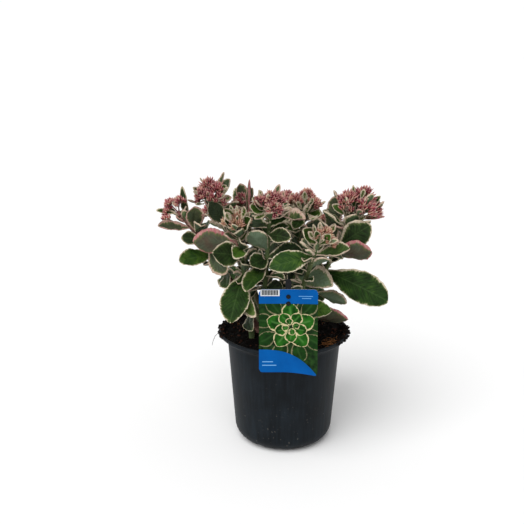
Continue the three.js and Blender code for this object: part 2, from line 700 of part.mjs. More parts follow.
// Everything that stands before the leaves grow: stems, heads, card, stake and rim.
function firstObstacles(plans) {
  const obstacles = [];
  for (const { stem, head } of plans) {
    const line = Array.from({ length: 30 }, (_, k) => stemPoint(stem, k / 29));
    obstacles.push({ kind: "stem", stem, gap: STEM.footRadius + 2.6, points: line });
    const domes = head.domes.map((d) => add(d.centre, d.axis, 0.75 * BUD.core * head.size));
    obstacles.push({ kind: "head", stem, gap: 12.6 * head.size + 1.2, points: domes });
    const branches = head.domes.flatMap((d) => rowOfPoints(head.foot, d.centre, 4));
    obstacles.push({ kind: "head", stem, gap: 4.6, points: branches });
    for (const bract of head.bracts) {
      const points = bladeSamples(bract).map((sample) => sample.slice(0, 3));
      obstacles.push({ kind: "head", stem, gap: 4.6, points });
    }
  }
  const card = [];
  for (let down = 0; down <= 1.001; down += 1 / 16) {
    const z = CARD.topZ - CARD.height * down;
    const y = CARD.topY - Math.tan(CARD.lean * DEG) * CARD.height * down;
    card.push(...rowOfPoints([CARD.middleX - 35, y, z], [CARD.middleX + 35, y, z], 11));
  }
  obstacles.push({ kind: "card", gap: 5.2, points: card });
  const stake = rowOfPoints([CARD.middleX, -72, 155], [CARD.middleX, -88, 243], 14);
  obstacles.push({ kind: "stake", gap: 6.5, points: stake });
  return obstacles;
}

// The leaves of every stem, set ones first, then the pairs that fill the rest.
function growLeaves(plans) {
  const draw = seededDraw(2027);
  const obstacles = firstObstacles(plans);
  const leaves = [];
  const place = (leaf) => {
    const found = settled(leaf, obstacles);
    if (!found) return;
    leaves.push(found.tried);
    obstacles.push({ kind: "leaf", stem: leaf.stem, points: found.samples });
  };
  const taken = SET_LEAVES.map(([name, at, tip, width, bend, facing, cup]) => {
    const leaf = leafTo(STEMS[name], at, tip, width, bend, facing, cup);
    place(leaf);
    return { stem: leaf.stem, at, heading: leaf.heading };
  });
  PAIRS.forEach((pair, tier) => {
    for (const { stem } of plans) {
      const base = stemPoint(stem, pair.at);
      const away = unit([base[0] - CLUMP.middle[0], base[1] - CLUMP.middle[1], 0]);
      for (const half of [0, 1]) {
        const heading = (stem.turn + 90 * tier + 180 * half + draw(-16, 16)) * DEG;
        const outward = away[0] * Math.cos(heading) + away[1] * Math.sin(heading);
        const length = stem.leaf * pair.share * draw(0.88, 1.08) * (1 + CLUMP.spread * outward);
        const rise = (pair.rise - CLUMP.hang * outward + draw(-7, 7)) * DEG;
        const width = length * draw(0.52, 0.62);
        const bend = draw(14, 44);
        const facing = [away[0] + draw(-0.4, 0.4), away[1] + draw(-0.4, 0.4), 0.8];
        const near = (t) => t.stem === stem && Math.abs(t.at - pair.at) < 0.09
          && Math.cos(t.heading - heading) > 0.6;
        if (stem.lost.includes(tier) || taken.some(near)) continue;
        if (outward < -0.4 && pair.at < 0.6) continue;
        const level = Math.cos(rise);
        const way = [level * Math.cos(heading), level * Math.sin(heading), Math.sin(rise)];
        place(leafTo(stem, pair.at, add(base, way, length), width, bend, facing, 0.2));
      }
    }
  });
  return leaves;
}

// ---------------------------------------------------------------- assembly

const stonecrop = new THREE.Group();
stonecrop.name = "potted_stonecrop";
stonecrop.add(named("pot", geometryOf(potGeometry()), "#1c1f23", 0.55));
const stems = Object.values(STEMS);
stonecrop.add(named("compost", geometryOf(compostSolid(stems)), "#2b1e16", 0.95));
stonecrop.add(named("label_card", geometryOf(cardSolid()), "#0f5fb4", 0.35));
stonecrop.add(named("label_stake", geometryOf(stakeSolid()), "#15171c", 0.45));

const names = Object.keys(STEMS);
const plans = names.map((name, k) => ({ stem: STEMS[name], head: headPlan(name, k * GOLDEN_ANGLE) }));
const leaves = growLeaves(plans);
names.forEach((name, k) => {
  const own = leaves.filter((leaf) => leaf.stem === stems[k]);
  const blades = own.map((leaf) => bladeGeometry(leaf, leaf.length > 60 ? FULL_LEAF : SMALL_LEAF));
  const shoot = joined([stemGeometry(stems[k]), ...blades]);
  stonecrop.add(named("stem_" + name, geometryOf(shoot), "#4d6b4a", 0.5));
  stonecrop.add(named("buds_" + name, geometryOf(headGeometry(plans[k].head)), "#b5686f", 0.55));
});

export default stonecrop;
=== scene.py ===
import math

import bmesh
import bpy
import numpy as np
from mathutils import Matrix, Vector, noise


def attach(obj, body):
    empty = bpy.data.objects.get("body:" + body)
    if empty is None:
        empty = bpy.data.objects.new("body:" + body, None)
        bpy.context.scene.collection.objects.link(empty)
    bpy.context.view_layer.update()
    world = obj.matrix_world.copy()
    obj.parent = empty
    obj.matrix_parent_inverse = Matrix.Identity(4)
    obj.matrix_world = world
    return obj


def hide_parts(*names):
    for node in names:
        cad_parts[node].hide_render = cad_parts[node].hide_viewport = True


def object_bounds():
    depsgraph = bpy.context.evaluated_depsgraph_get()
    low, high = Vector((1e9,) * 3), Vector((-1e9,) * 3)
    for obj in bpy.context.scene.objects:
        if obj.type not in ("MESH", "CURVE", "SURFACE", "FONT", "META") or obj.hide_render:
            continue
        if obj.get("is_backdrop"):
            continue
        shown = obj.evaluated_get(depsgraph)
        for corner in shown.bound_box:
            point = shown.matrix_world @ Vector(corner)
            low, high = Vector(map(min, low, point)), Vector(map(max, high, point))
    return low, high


# A variegated autumn stonecrop in a nursery pot, dressed round its fixed frame. Lengths are written
# in millimetres and turned to metres as each mesh is made. +Z is up and the label card faces -Y.
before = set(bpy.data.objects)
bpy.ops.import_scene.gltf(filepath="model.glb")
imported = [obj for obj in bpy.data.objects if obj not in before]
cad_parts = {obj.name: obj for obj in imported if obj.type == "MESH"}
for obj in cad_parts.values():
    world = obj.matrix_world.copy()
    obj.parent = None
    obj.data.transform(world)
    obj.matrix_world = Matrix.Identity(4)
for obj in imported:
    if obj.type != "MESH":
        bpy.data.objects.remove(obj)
cad_low, cad_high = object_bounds()

# ---------------------------------------------------------------- studio
# A white paper floor that runs far back, under one wide soft light from the upper front left, as a
# small plant is shot for a catalogue. Overhead the room is dimmer, so foliage shades its own inside.
# The camera's place is in metres.
CAMERA = {"sensor": 36, "lens": 51.87, "place": (-0.0288, -0.9332, 0.5082), "looks_down": 16}
LIGHT = {"strength": 2.35, "spread": 52, "shines": (0.35, 0.6, -0.9)}
camera_data = bpy.data.cameras.new("camera")
camera_data.sensor_width = CAMERA["sensor"]
camera_data.lens = CAMERA["lens"]
camera = bpy.data.objects.new("camera", camera_data)
camera.location = CAMERA["place"]
camera.rotation_euler = (math.radians(90 - CAMERA["looks_down"]), 0, 0)
bpy.context.scene.collection.objects.link(camera)
bpy.context.scene.camera = camera
bpy.context.scene.view_settings.view_transform = "Standard"


def linear(code):
    """An sRGB hex colour as linear light."""
    parts = [int(code[i:i + 2], 16) / 255 for i in (1, 3, 5)]
    return (*(((c + 0.055) / 1.055) ** 2.4 if c > 0.04045 else c / 12.92 for c in parts), 1.0)


def node(tree, kind, *values, out=None, **named):
    """Adds a shader node and returns one of its outputs. Its sockets are fed in order or by name, each
    with a number, an sRGB hex colour or another node's output, and its settings are given by name."""
    made = tree.nodes.new("ShaderNode" + kind)
    for name, value in named.items():
        if name not in made.inputs:
            setattr(made, name, value)
    fed = [(made.inputs[name], value) for name, value in named.items() if name in made.inputs]
    fed += zip([socket for socket in made.inputs if socket.enabled], values)
    for socket, value in fed:
        if isinstance(value, bpy.types.NodeSocket):
            tree.links.new(value, socket)
        else:
            socket.default_value = linear(value) if isinstance(value, str) else value
    return made.outputs[out] if out else next(socket for socket in made.outputs if socket.enabled)


def finish_of(name, **sockets):
    """A material with these values on its Principled shader, its node tree, and that shader."""
    made = bpy.data.materials.new(name)
    made.use_nodes = True
    shader = made.node_tree.nodes["Principled BSDF"]
    for socket, value in sockets.items():
        shader.inputs[socket.replace("_", " ")].default_value = value
    return made, made.node_tree, shader


def mesh_of(name, bm):
    """Turns a bmesh into a mesh and frees it."""
    mesh = bpy.data.meshes.new(name)
    bm.to_mesh(mesh)
    bm.free()
    return mesh


def piece(name, bm, materials, slot=None, smooth=True):
    """Turns a bmesh in metres into an object. One given a slot rides on the root body."""
    for face in bm.faces:
        face.smooth = smooth
    mesh = mesh_of(name, bm)
    for material in materials:
        mesh.materials.append(material)
    made = bpy.data.objects.new(name, mesh)
    bpy.context.scene.collection.objects.link(made)
    if slot:
        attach(made, "root")
    return made


FLOOR_REACH = 25
paper, _, _ = finish_of(
    "studio_paper", Base_Color=linear("#f5f5f5"), Roughness=1.0, Specular_IOR_Level=0.0,
)
floor_mesh = bmesh.new()
bmesh.ops.create_grid(floor_mesh, x_segments=1, y_segments=1, size=FLOOR_REACH)
piece("studio_floor", floor_mesh, [paper])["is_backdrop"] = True

world = bpy.data.worlds.new("soft_surround")
world.use_nodes = True
room = world.node_tree
way_up = node(room, "SeparateXYZ", node(room, "TexCoord", out="Generated"), out="Z")
glow = room.nodes["Background"]
glow.inputs["Color"].default_value = linear("#ffffff")
room.links.new(node(room, "MapRange", way_up, 0.2, 0.5, 1.02, 0.5), glow.inputs["Strength"])
bpy.context.scene.world = world

key_data = bpy.data.lights.new("wide_soft_light", "SUN")
key_data.energy = LIGHT["strength"]
key_data.angle = math.radians(LIGHT["spread"])
key_light = bpy.data.objects.new("wide_soft_light", key_data)
key_light.rotation_euler = Vector(LIGHT["shines"]).to_track_quat("-Z", "Y").to_euler()
bpy.context.scene.collection.objects.link(key_light)

# ---------------------------------------------------------------- pot
# A 17 cm nursery pot, drawn thin from a sheet of recycled polypropylene: blue-black, satin, with faint
# upright drawing marks and dried splashes low down. Four notches in its foot let water out.
MM = 0.001
RIM_Z = 150
NECK_Z = 137
RIM_RADIUS = 85
NECK_RADIUS = 74
FOOT_RADIUS = 65
FOOT_ROUND = 20
FLOOR_Z = 5
WALL = 1.6
FLARE = {"tall": 9, "power": 1.6}
LIP = 2.5
LIP_ROUND = {"outer": 1.1, "inner": 0.6}
FOOT_RING = {"inner": FOOT_RADIUS - 26, "outer": FOOT_RADIUS - 24, "hollow": 0.8}
NOTCH = {"count": 4, "first": -124, "width": 13, "height": 6.5, "corner": 2.5, "long": 60, "out": 62}


def arc(middle, radius, start, end, steps):
    """Points of an arc in a profile, from one angle to another, in degrees."""
    turns = [math.radians(start + (end - start) * k / steps) for k in range(steps + 1)]
    return [(middle[0] + radius * math.cos(a), middle[1] + radius * math.sin(a)) for a in turns]


def pot_radius(z):
    """The outside radius: a slight taper, then the flare up to the rim."""
    if z <= NECK_Z:
        up = (z - FOOT_ROUND) / (NECK_Z - FOOT_ROUND)
        return FOOT_RADIUS + (NECK_RADIUS - FOOT_RADIUS) * up
    flared = min(1, (z - NECK_Z) / FLARE["tall"]) ** FLARE["power"]
    return NECK_RADIUS + (RIM_RADIUS - WALL - NECK_RADIUS) * flared


def turned(bm, profile, steps):
    """Spins a profile of (radius, height) in millimetres round the pot's axis."""
    corners = [bm.verts.new((r * MM, 0, z * MM)) for r, z in profile]
    edges = [bm.edges.new(pair) for pair in zip(corners, corners[1:])]
    bmesh.ops.spin(
        bm, geom=corners + edges, cent=(0, 0, 0), axis=(0, 0, 1), angle=math.tau, steps=steps,
        use_merge=True, use_duplicate=False,
    )
    bmesh.ops.remove_doubles(bm, verts=bm.verts, dist=1e-6)
    bmesh.ops.recalc_face_normals(bm, faces=bm.faces)


def thermoformed_plastic():
    """Satin polypropylene, drawn hot over a mould: dark, streaked along its draw, splashed low down."""
    made, tree, shader = finish_of("thermoformed_polypropylene", IOR=1.49, Specular_IOR_Level=0.12)
    place = node(tree, "TexCoord", out="Object")
    drawn = node(tree, "Mapping", place, Scale=(1, 1, 0.04))
    clouds = node(tree, "TexNoise", place, 28, 4)
    lines = node(tree, "TexNoise", drawn, 260, 3)
    marks = node(tree, "Math", lines, clouds, operation="MULTIPLY")
    streaked = node(tree, "MapRange", marks, 0.15, 0.4)
    body = node(tree, "Mix", streaked, "#0a0f13", "#161d23", data_type="RGBA")
    height = node(tree, "SeparateXYZ", place, out="Z")
    low = node(tree, "MapRange", height, 0.02, 0.08, 1.0, 0.1)
    splashes = node(tree, "TexNoise", place, 260, 4, 0.6)
    dried = node(tree, "MapRange", splashes, 0.66, 0.7, 0.0, 0.75)
    share = node(tree, "Math", dried, low, operation="MULTIPLY")
    splashed = node(tree, "Mix", share, body, "#605b54", data_type="RGBA")
    tree.links.new(splashed, shader.inputs["Base Color"])
    tree.links.new(node(tree, "MapRange", clouds, 0, 1, 0.4, 0.62), shader.inputs["Roughness"])
    furrows = node(tree, "Bump", Height=marks, Strength=0.5, Distance=0.0006)
    tree.links.new(furrows, shader.inputs["Normal"])
    return made


pot_plastic = thermoformed_plastic()
outer, inner = LIP_ROUND["outer"], LIP_ROUND["inner"]
pot_profile = [
    (0, FOOT_RING["hollow"]), (FOOT_RING["inner"], FOOT_RING["hollow"]), (FOOT_RING["outer"], 0),
    *arc((FOOT_RADIUS - FOOT_ROUND, FOOT_ROUND), FOOT_ROUND, -90, 0, 9),
    *[(pot_radius(z), z) for z in (48, 78, 108, 134)],
    (pot_radius(NECK_Z) - 0.5, NECK_Z - 0.6),
    *[(pot_radius(z), z) for z in (138.2, 140, 142, 144)],
    (pot_radius(146), 145.8), (RIM_RADIUS - 0.5, 145.9),
    *arc((RIM_RADIUS - outer, RIM_Z - outer), outer, 0, 90, 3),
    *arc((RIM_RADIUS - LIP + inner, RIM_Z - inner), inner, 90, 180, 2),
    *[(pot_radius(z) - WALL, z) for z in (145, 143, 141, 138.5, NECK_Z - 1, 80)],
    *arc((FOOT_RADIUS - FOOT_ROUND, FOOT_ROUND + FLOOR_Z), FOOT_ROUND - WALL, 0, -90, 6),
    (0, FLOOR_Z + WALL),
]
pot_mesh = bmesh.new()
turned(pot_mesh, pot_profile, 120)
pot = piece("nursery_pot", pot_mesh, [pot_plastic], slot="pot_plastic")


def cut_away(target, cutter_mesh):
    """Takes a closed mesh's space out of a piece."""
    cutter = piece("cutter", cutter_mesh, [])
    cut = target.modifiers.new("cut", "BOOLEAN")
    cut.operation = "DIFFERENCE"
    cut.solver = "MANIFOLD"
    cut.object = cutter
    bpy.context.view_layer.objects.active = target
    bpy.ops.object.modifier_apply(modifier="cut")
    bpy.data.objects.remove(cutter)


for k in range(NOTCH["count"]):
    gap = bmesh.new()
    bmesh.ops.create_cube(gap, size=1)
    gap_size = Vector((NOTCH["long"], NOTCH["width"], 2 * NOTCH["height"])) * MM
    bmesh.ops.scale(gap, vec=gap_size, verts=gap.verts)
    lengthwise = [e for e in gap.edges if abs(e.verts[0].co.x - e.verts[1].co.x) > 0.01]
    bmesh.ops.bevel(
        gap, geom=lengthwise, offset=NOTCH["corner"] * MM, segments=3, affect="EDGES", profile=0.5,
        material=-1,
    )
    bmesh.ops.translate(gap, vec=(NOTCH["out"] * MM, 0, 0), verts=gap.verts)
    turn = Matrix.Rotation(math.radians(NOTCH["first"] + 360 / NOTCH["count"] * k), 3, "Z")
    bmesh.ops.rotate(gap, cent=(0, 0, 0), matrix=turn, verts=gap.verts)
    cut_away(pot, gap)
pot.data.set_sharp_from_angle(angle=math.radians(38))
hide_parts("pot")

# ---------------------------------------------------------------- compost
# Moist peat with bark crumbs and root threads, filled to the rim and washed onto it at both sides by
# watering. Its surface is turned like the pot and then roughened, and crumbs lie pressed into it.
COMPOST = {"level": 145.6, "mound": 3, "lumps": 1.1, "gap": 0.3, "flat_out_to": 75, "reach": 79}
SPUN_Z = 200


def compost_height(x, y):
    """The surface's height in millimetres: a low mound with lumps, level at the wall."""
    out = math.hypot(x, y) / COMPOST["flat_out_to"]
    lumps = math.sin(x * 0.21 + 1) * math.cos(y * 0.26) + 0.6 * math.sin(x * 0.13 - y * 0.34)
    return COMPOST["level"] + COMPOST["mound"] * (1 - out * out) + COMPOST["lumps"] * lumps * (1 - out ** 6)


def seeded_draw(seed):
    """Draws between two limits, the same ones on every run (Park and Miller's rule)."""
    state = [seed]

    def draw(low, high):
        state[0] = state[0] * 16807 % 2147483647
        return low + (high - low) * state[0] / 2147483647

    return draw


def damp_peat(name, dark, pale, grain):
    """Crumbly organic matter, matt and nearly black where damp, paler on the dry crumbs."""
    made, tree, shader = finish_of(name, Roughness=0.95, Specular_IOR_Level=0.1)
    crumbs = node(tree, "TexNoise", node(tree, "TexCoord", out="Object"), grain, 6, 0.7)
    dry = node(tree, "MapRange", crumbs, 0.42, 0.75)
    tree.links.new(node(tree, "Mix", dry, dark, pale, data_type="RGBA"), shader.inputs["Base Color"])
    rough = node(tree, "Bump", Height=crumbs, Strength=0.9, Distance=0.0012)
    tree.links.new(rough, shader.inputs["Normal"])
    return made


def loft(bm, rings):
    """A closed solid: a loop of corners extruded through each ring in turn. Returns its corners."""
    face = bm.faces.new([bm.verts.new(p) for p in rings[0]])
    made = list(face.verts)
    for ring in rings[1:]:
        grown = bmesh.ops.extrude_face_region(bm, geom=[face])["geom"]
        face = next(g for g in grown if isinstance(g, bmesh.types.BMFace))
        for vert, place in zip(face.verts, ring):
            vert.co = place
        made += list(face.verts)
    return made


def tube(bm, points, radii, sides):
    """A round solid along points in millimetres. Returns its corners."""
    rings = []
    across = Vector((0.3, 0.9, 0.2))
    for k, point in enumerate(points):
        ahead = Vector(points[min(k + 1, len(points) - 1)]) - Vector(points[max(k - 1, 0)])
        right = ahead.cross(across).normalized()
        up = right.cross(ahead).normalized()
        across = -up if up.dot(across) < 0 else up
        turns = [math.tau * i / sides for i in range(sides)]
        radius = float(radii[k])
        rings.append([
            (Vector(point) + radius * (right * math.cos(a) + across * math.sin(a))) * MM for a in turns
        ])
    return loft(bm, rings)


soil_draw = seeded_draw(91)
soil = bmesh.new()
inner_wall = [(pot_radius(z) - WALL - COMPOST["gap"], z) for z in (145.4, 142, NECK_Z, 60)]
surface = [(r, SPUN_Z) for r in np.linspace(0, COMPOST["reach"], 64)]
turned(soil, [*surface, *inner_wall, (FOOT_RADIUS - 5, 28), (FOOT_RADIUS - 16, 12), (0, 7.5)], 150)
for vert in soil.verts:
    if vert.co.z > (SPUN_Z - 1) * MM:
        x, y = vert.co.x / MM, vert.co.y / MM
        fine = noise.fractal(Vector((x, y, 0)) * 0.28, 0.8, 2.0, 4)
        broad = noise.noise(Vector((x, y, 4)) * 0.09)
        vert.co.z = (compost_height(x, y) - 0.6 + 1.5 * fine + 1.2 * broad) * MM


def crumb(bm, place, size, flat, material):
    """A small knocked-about lump, in millimetres."""
    scale = Vector((size * soil_draw(0.6, 1.3), size * 0.7, size * flat)) / 2
    lump = bmesh.ops.create_icosphere(bm, subdivisions=1, radius=1)["verts"]
    tip = Matrix.Rotation(soil_draw(-0.7, 0.7), 4, "X") @ Matrix.Rotation(soil_draw(0, 6), 4, "Z")
    for vert in lump:
        knocked = vert.co * soil_draw(0.8, 1.2)
        lying = tip @ Vector((knocked.x * scale.x, knocked.y * scale.y, knocked.z * scale.z))
        vert.co = (lying + Vector(place)) * MM
    for face in {f for v in lump for f in v.link_faces}:
        face.material_index = material


# Crumbs of peat, chips of bark and pale grit, pressed half into the surface: how many, the smallest and
# largest in millimetres, how flat, and which material. Then the damp clumps on the rim, at the right
# and at the left: the middle of each heap and how far it runs either way, in degrees.
CRUMB, BARK, GRIT, FIBRE = range(1, 5)
CRUMBS = [(620, 1.2, 3.4, 0.75, CRUMB), (210, 1.6, 5.2, 0.38, BARK), (50, 0.7, 1.5, 0.8, GRIT)]
HEAPS = [(-14, 34), (186, 30)]
HEAP_CRUMBS = 95
for count, smallest, largest, flat, material in CRUMBS:
    for _ in range(count):
        out = COMPOST["reach"] * math.sqrt(soil_draw(0, 1))
        turn = soil_draw(0, math.tau)
        x, y = out * math.cos(turn), out * math.sin(turn)
        size = soil_draw(smallest, largest)
        crumb(soil, (x, y, compost_height(x, y) + 0.2 * size), size, flat, material)
for middle, span in HEAPS:
    for k in range(HEAP_CRUMBS):
        turn = math.radians(middle + span * soil_draw(-1, 1) * soil_draw(0.3, 1))
        out = soil_draw(78.5, 86.4)
        high = soil_draw(147.2, 151.6 - abs(out - 82) / 2)
        place = (out * math.cos(turn), out * math.sin(turn), high)
        crumb(soil, place, soil_draw(2.2, 5.4), 0.8, CRUMB if k % 7 else BARK)

# Root threads: fine ones over the surface, one hanging over the rim at the left, a tuft at the right.
HANGING = [(-78, -20, 149), (-85, -24, 152.5), (-89, -26, 149), (-92, -27, 142), (-93, -28, 137)]
THREADS = [HANGING]
TUFT_THREADS = 38
LOOSE_THREADS = 14
for k in range(TUFT_THREADS + LOOSE_THREADS):
    in_tuft = k < TUFT_THREADS
    turn = math.radians(soil_draw(-46, -26)) if in_tuft else soil_draw(0, math.tau)
    out = soil_draw(64, 78) if in_tuft else soil_draw(15, 74)
    x, y = out * math.cos(turn), out * math.sin(turn)
    z = compost_height(x, y) + soil_draw(0.8, 3.2)
    reach = soil_draw(4, 9)
    way = soil_draw(0, math.tau)
    mid = (x + reach * math.cos(way), y + reach * math.sin(way), z + soil_draw(-0.5, 2.5))
    end = (mid[0] + soil_draw(-6, 6), mid[1] + soil_draw(-6, 6), z - soil_draw(0, 2))
    THREADS.append([(x, y, z - 1.5), mid, end])
for thread in THREADS:
    radii = [0.32] * (len(thread) - 1) + [0.2]
    for face in {f for v in tube(soil, thread, radii, 5) for f in v.link_faces}:
        face.material_index = CRUMB if thread is HANGING else FIBRE
bmesh.ops.recalc_face_normals(soil, faces=soil.faces)
compost = piece("compost_fill", soil, [
    damp_peat("damp_peat", "#040302", "#120d0a", 420),
    damp_peat("peat_crumb", "#070504", "#251a13", 520),
    damp_peat("bark_chip", "#20120c", "#5c3525", 380),
    damp_peat("pale_grit", "#5a5048", "#8e8578", 600),
    damp_peat("dry_fibre", "#5e3a20", "#b07a4a", 600),
], slot="compost")
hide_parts("compost")

# ---------------------------------------------------------------- stake
# A black moulded polypropylene strip: upright behind the card, bent back over the rim and pushed
# into the compost. Two studs moulded on its front snap through the card's holes.
STUDS = (9, 17.5)
STAKE_THICK = 1.6
CARD_TOP = Vector((2.5, -83.5, 231))
CARD_LEAN = math.radians(3)
CARD_PLACE = Matrix.Translation(CARD_TOP * MM) @ Matrix.Rotation(math.radians(90) - CARD_LEAN, 4, "X")
STAKE_GAP = 0.5
# The strip's middle line from its foot up, as depth, height and half width, then as height and half
# width where it stands behind the card.
BURIED_AND_BENT = [(-63, 104, 0.6), (-64.9, 113, 3.5), (-72, 147, 3.5), (-79, 176, 3.5)]
UPRIGHT = [(205, 3.5), (222, 3.5), (240, 3.5), (242.2, 2.6), (243, 1.2)]


def card_back(z):
    """The depth at which the card's rear face stands at a height, in millimetres."""
    return CARD_TOP.y - (CARD_TOP.z - z) * math.tan(CARD_LEAN)


def moulded_black():
    """Gloss-moulded polypropylene, black, a little worn."""
    made, tree, shader = finish_of(
        "moulded_polypropylene", Base_Color=linear("#07090d"), IOR=1.49, Specular_IOR_Level=0.2,
    )
    wear = node(tree, "TexNoise", node(tree, "TexCoord", out="Object"), 240, 3)
    tree.links.new(node(tree, "MapRange", wear, 0, 1, 0.25, 0.5), shader.inputs["Roughness"])
    return made


stake_mesh = bmesh.new()
stake_rings = []
behind_card = [(card_back(z) + STAKE_GAP, z, half) for z, half in UPRIGHT]
for y, z, half in BURIED_AND_BENT + behind_card:
    corners = ((-half, 0), (half, 0), (half, STAKE_THICK), (-half, STAKE_THICK))
    stake_rings.append([Vector((CARD_TOP.x + side, y + back, z)) * MM for side, back in corners])
loft(stake_mesh, stake_rings)
bmesh.ops.recalc_face_normals(stake_mesh, faces=stake_mesh.faces)
bmesh.ops.bevel(
    stake_mesh, geom=stake_mesh.edges[:], offset=0.3 * MM, segments=1, affect="EDGES", profile=0.5,
    material=-1,
)
STUD_SHAPE = [(2.3, -1.1, 1.4), (2.8, 1.0, 2.0)]
for drop in STUDS:
    for radius, low, high in STUD_SHAPE:
        stud = bmesh.ops.create_cone(
            stake_mesh, cap_ends=True, segments=24, radius1=radius * MM, radius2=radius * 0.8 * MM,
            depth=(high - low) * MM,
        )["verts"]
        bmesh.ops.translate(stake_mesh, vec=Vector((0, -drop, (low + high) / 2)) * MM, verts=stud)
        bmesh.ops.transform(stake_mesh, matrix=CARD_PLACE, verts=stud)
stake = piece("label_stake_moulding", stake_mesh, [moulded_black()], slot="stake_plastic", smooth=False)
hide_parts("label_stake")

# ---------------------------------------------------------------- label card
# Coated card with rounded corners and two punched holes, its lower right corner curled forward by
# damp. It is printed blue at head and foot, round a picture of leaves, and each ink is laid on as a
# film a few hundredths of a millimetre thick.
CARD = {"width": 70, "height": 104, "corner": 4, "hole": 2.65, "thick": 0.55}
CURL = {"from": -5, "over": 40, "forward": 14, "at_top": 0.12}
PICTURE_TOP = 17.6
FOOT_TOP = 75
FIRST_INK = (0.53, 0.6)
THIN_INK = (0.53, 0.58)
OVERPRINT = (0.58, 0.63)
LEAF_INK = 0.04
BLUE, BARE, GROUND, WHITE, BLACK, LEAF, PALE_BLUE = range(7)


def card_curl(x, down):
    """How far the card curls forward at a place across and down it."""
    across = max(0, (x - CURL["from"]) / CURL["over"])
    lower = (max(0, down) / CARD["height"]) ** 1.5
    return CURL["forward"] * across ** 1.6 * (CURL["at_top"] + (1 - CURL["at_top"]) * lower)


def across_card(u):
    """The place across the card at a share of its width."""
    return CARD["width"] * u - CARD["width"] / 2


def corner_drop(x):
    """How much shorter the card is at a place across it, where its corners are rounded."""
    into = max(0, abs(x) - (CARD["width"] / 2 - CARD["corner"]))
    return CARD["corner"] - math.sqrt(max(0, CARD["corner"] ** 2 - into ** 2))


def film(bm, across, down, rule, low, high, material):
    """A thin layer on the card: rule gives (x, down) in millimetres from shares 0 to 1."""
    first = len(bm.verts)
    first_face = len(bm.faces)
    bmesh.ops.create_grid(bm, x_segments=across, y_segments=down, size=1)
    bm.faces.ensure_lookup_table()
    grown = bmesh.ops.extrude_face_region(bm, geom=bm.faces[first_face:])["geom"]
    raised = {g for g in grown if isinstance(g, bmesh.types.BMVert)}
    bm.verts.ensure_lookup_table()
    bm.faces.ensure_lookup_table()
    for vert in bm.verts[first:]:
        x, drop = rule((vert.co.x + 1) / 2, (1 - vert.co.y) / 2)
        vert.co = Vector((x, -drop, card_curl(x, drop) + (high if vert in raised else low))) * MM
    for face in bm.faces[first_face:]:
        face.material_index = material


def plain(left, right, top, bottom):
    """The rule of a rectangle on the card."""
    return lambda u, v: (left + (right - left) * u, top + (bottom - top) * v)


def printed_ink(name, dark, pale, grain=40):
    """Coated paper under a satin varnish, its ink mottled very slightly."""
    made, tree, shader = finish_of(name, Roughness=0.42, IOR=1.5, Specular_IOR_Level=0.05)
    ink = node(tree, "TexNoise", node(tree, "TexCoord", out="Object"), grain, 4)
    mottled = node(tree, "MapRange", ink, 0.3, 0.7)
    tree.links.new(node(tree, "Mix", mottled, dark, pale, data_type="RGBA"), shader.inputs["Base Color"])
    return made


def pictured_leaf():
    """A printed leaf: cream at its edge, green inside, with a pale rib."""
    made, tree, shader = finish_of("pictured_leaf", Roughness=0.42, IOR=1.5, Specular_IOR_Level=0.05)
    place = node(tree, "TexCoord", out="Object")
    edge = node(tree, "Attribute", attribute_name="edge", out="Fac")
    rib = node(tree, "Attribute", attribute_name="rib", out="Fac")
    ripple = node(tree, "MapRange", node(tree, "TexNoise", place, 420, 3), 0.3, 0.7, -0.9, 0.9)
    ragged = node(tree, "Math", edge, ripple, operation="ADD")
    shade = node(tree, "MapRange", node(tree, "TexNoise", place, 130, 3), 0.35, 0.65)
    green = node(tree, "Mix", shade, "#0e330a", "#225a16", data_type="RGBA")
    ribbed = node(tree, "Mix", rib, green, "#4d7a3c", data_type="RGBA")
    inside = node(tree, "MapRange", ragged, 0.9, 1.5)
    leaf = node(tree, "Mix", inside, "#bdb088", ribbed, data_type="RGBA")
    depth = node(tree, "Attribute", attribute_name="shade", out="Fac")
    shaded = node(tree, "Mix", depth, leaf, "#12240f", data_type="RGBA")
    tree.links.new(shaded, shader.inputs["Base Color"])
    return made


def whole_card(u, v):
    """The rule of the card's own outline."""
    x = across_card(u)
    return x, corner_drop(x) * (1 - 2 * v) + CARD["height"] * v


board = bmesh.new()
film(board, 36, 52, whole_card, 0, CARD["thick"], BLUE)
bmesh.ops.recalc_face_normals(board, faces=board.faces)
for face in board.faces:
    face.material_index = BLUE if face.normal.z > 0.5 else BARE
card = piece("label_card_board", board, [
    printed_ink("blue_print", "#004789", "#015299"), printed_ink("bare_card", "#b9b8b2", "#c6c5bf"),
    printed_ink("picture_ground", "#08140a", "#223f1a", 190),
    printed_ink("white_print", "#bfc2c3", "#cccfd0"),
    printed_ink("black_print", "#14171c", "#23272d"), pictured_leaf(),
    printed_ink("pale_blue_print", "#5f97c6", "#6ea3cf"),
], slot="card", smooth=False)
for drop in STUDS:
    punch = bmesh.new()
    bmesh.ops.create_cone(
        punch, cap_ends=True, segments=32, radius1=CARD["hole"] * MM, radius2=CARD["hole"] * MM,
        depth=6 * MM,
    )
    bmesh.ops.translate(punch, vec=Vector((0, -drop, 0)) * MM, verts=punch.verts)
    cut_away(card, punch)

# The print, from the board outwards: the picture's ground, a white panel of plain bars, plain rules
# where words would be, and a rosette of cream-edged leaves, the small upper ones over the large.
ink = bmesh.new()
ink.from_mesh(card.data)
edge_layer = ink.verts.layers.float.new("edge")
rib_layer = ink.verts.layers.float.new("rib")
shade_layer = ink.verts.layers.float.new("shade")


def foot_band(x):
    """Where the blue foot begins: a curve that drops to the card's lower right corner."""
    share = (x + CARD["width"] / 2) / CARD["width"]
    return min(FOOT_TOP + (CARD["height"] - FOOT_TOP) * share ** 2.7, CARD["height"] - corner_drop(x))


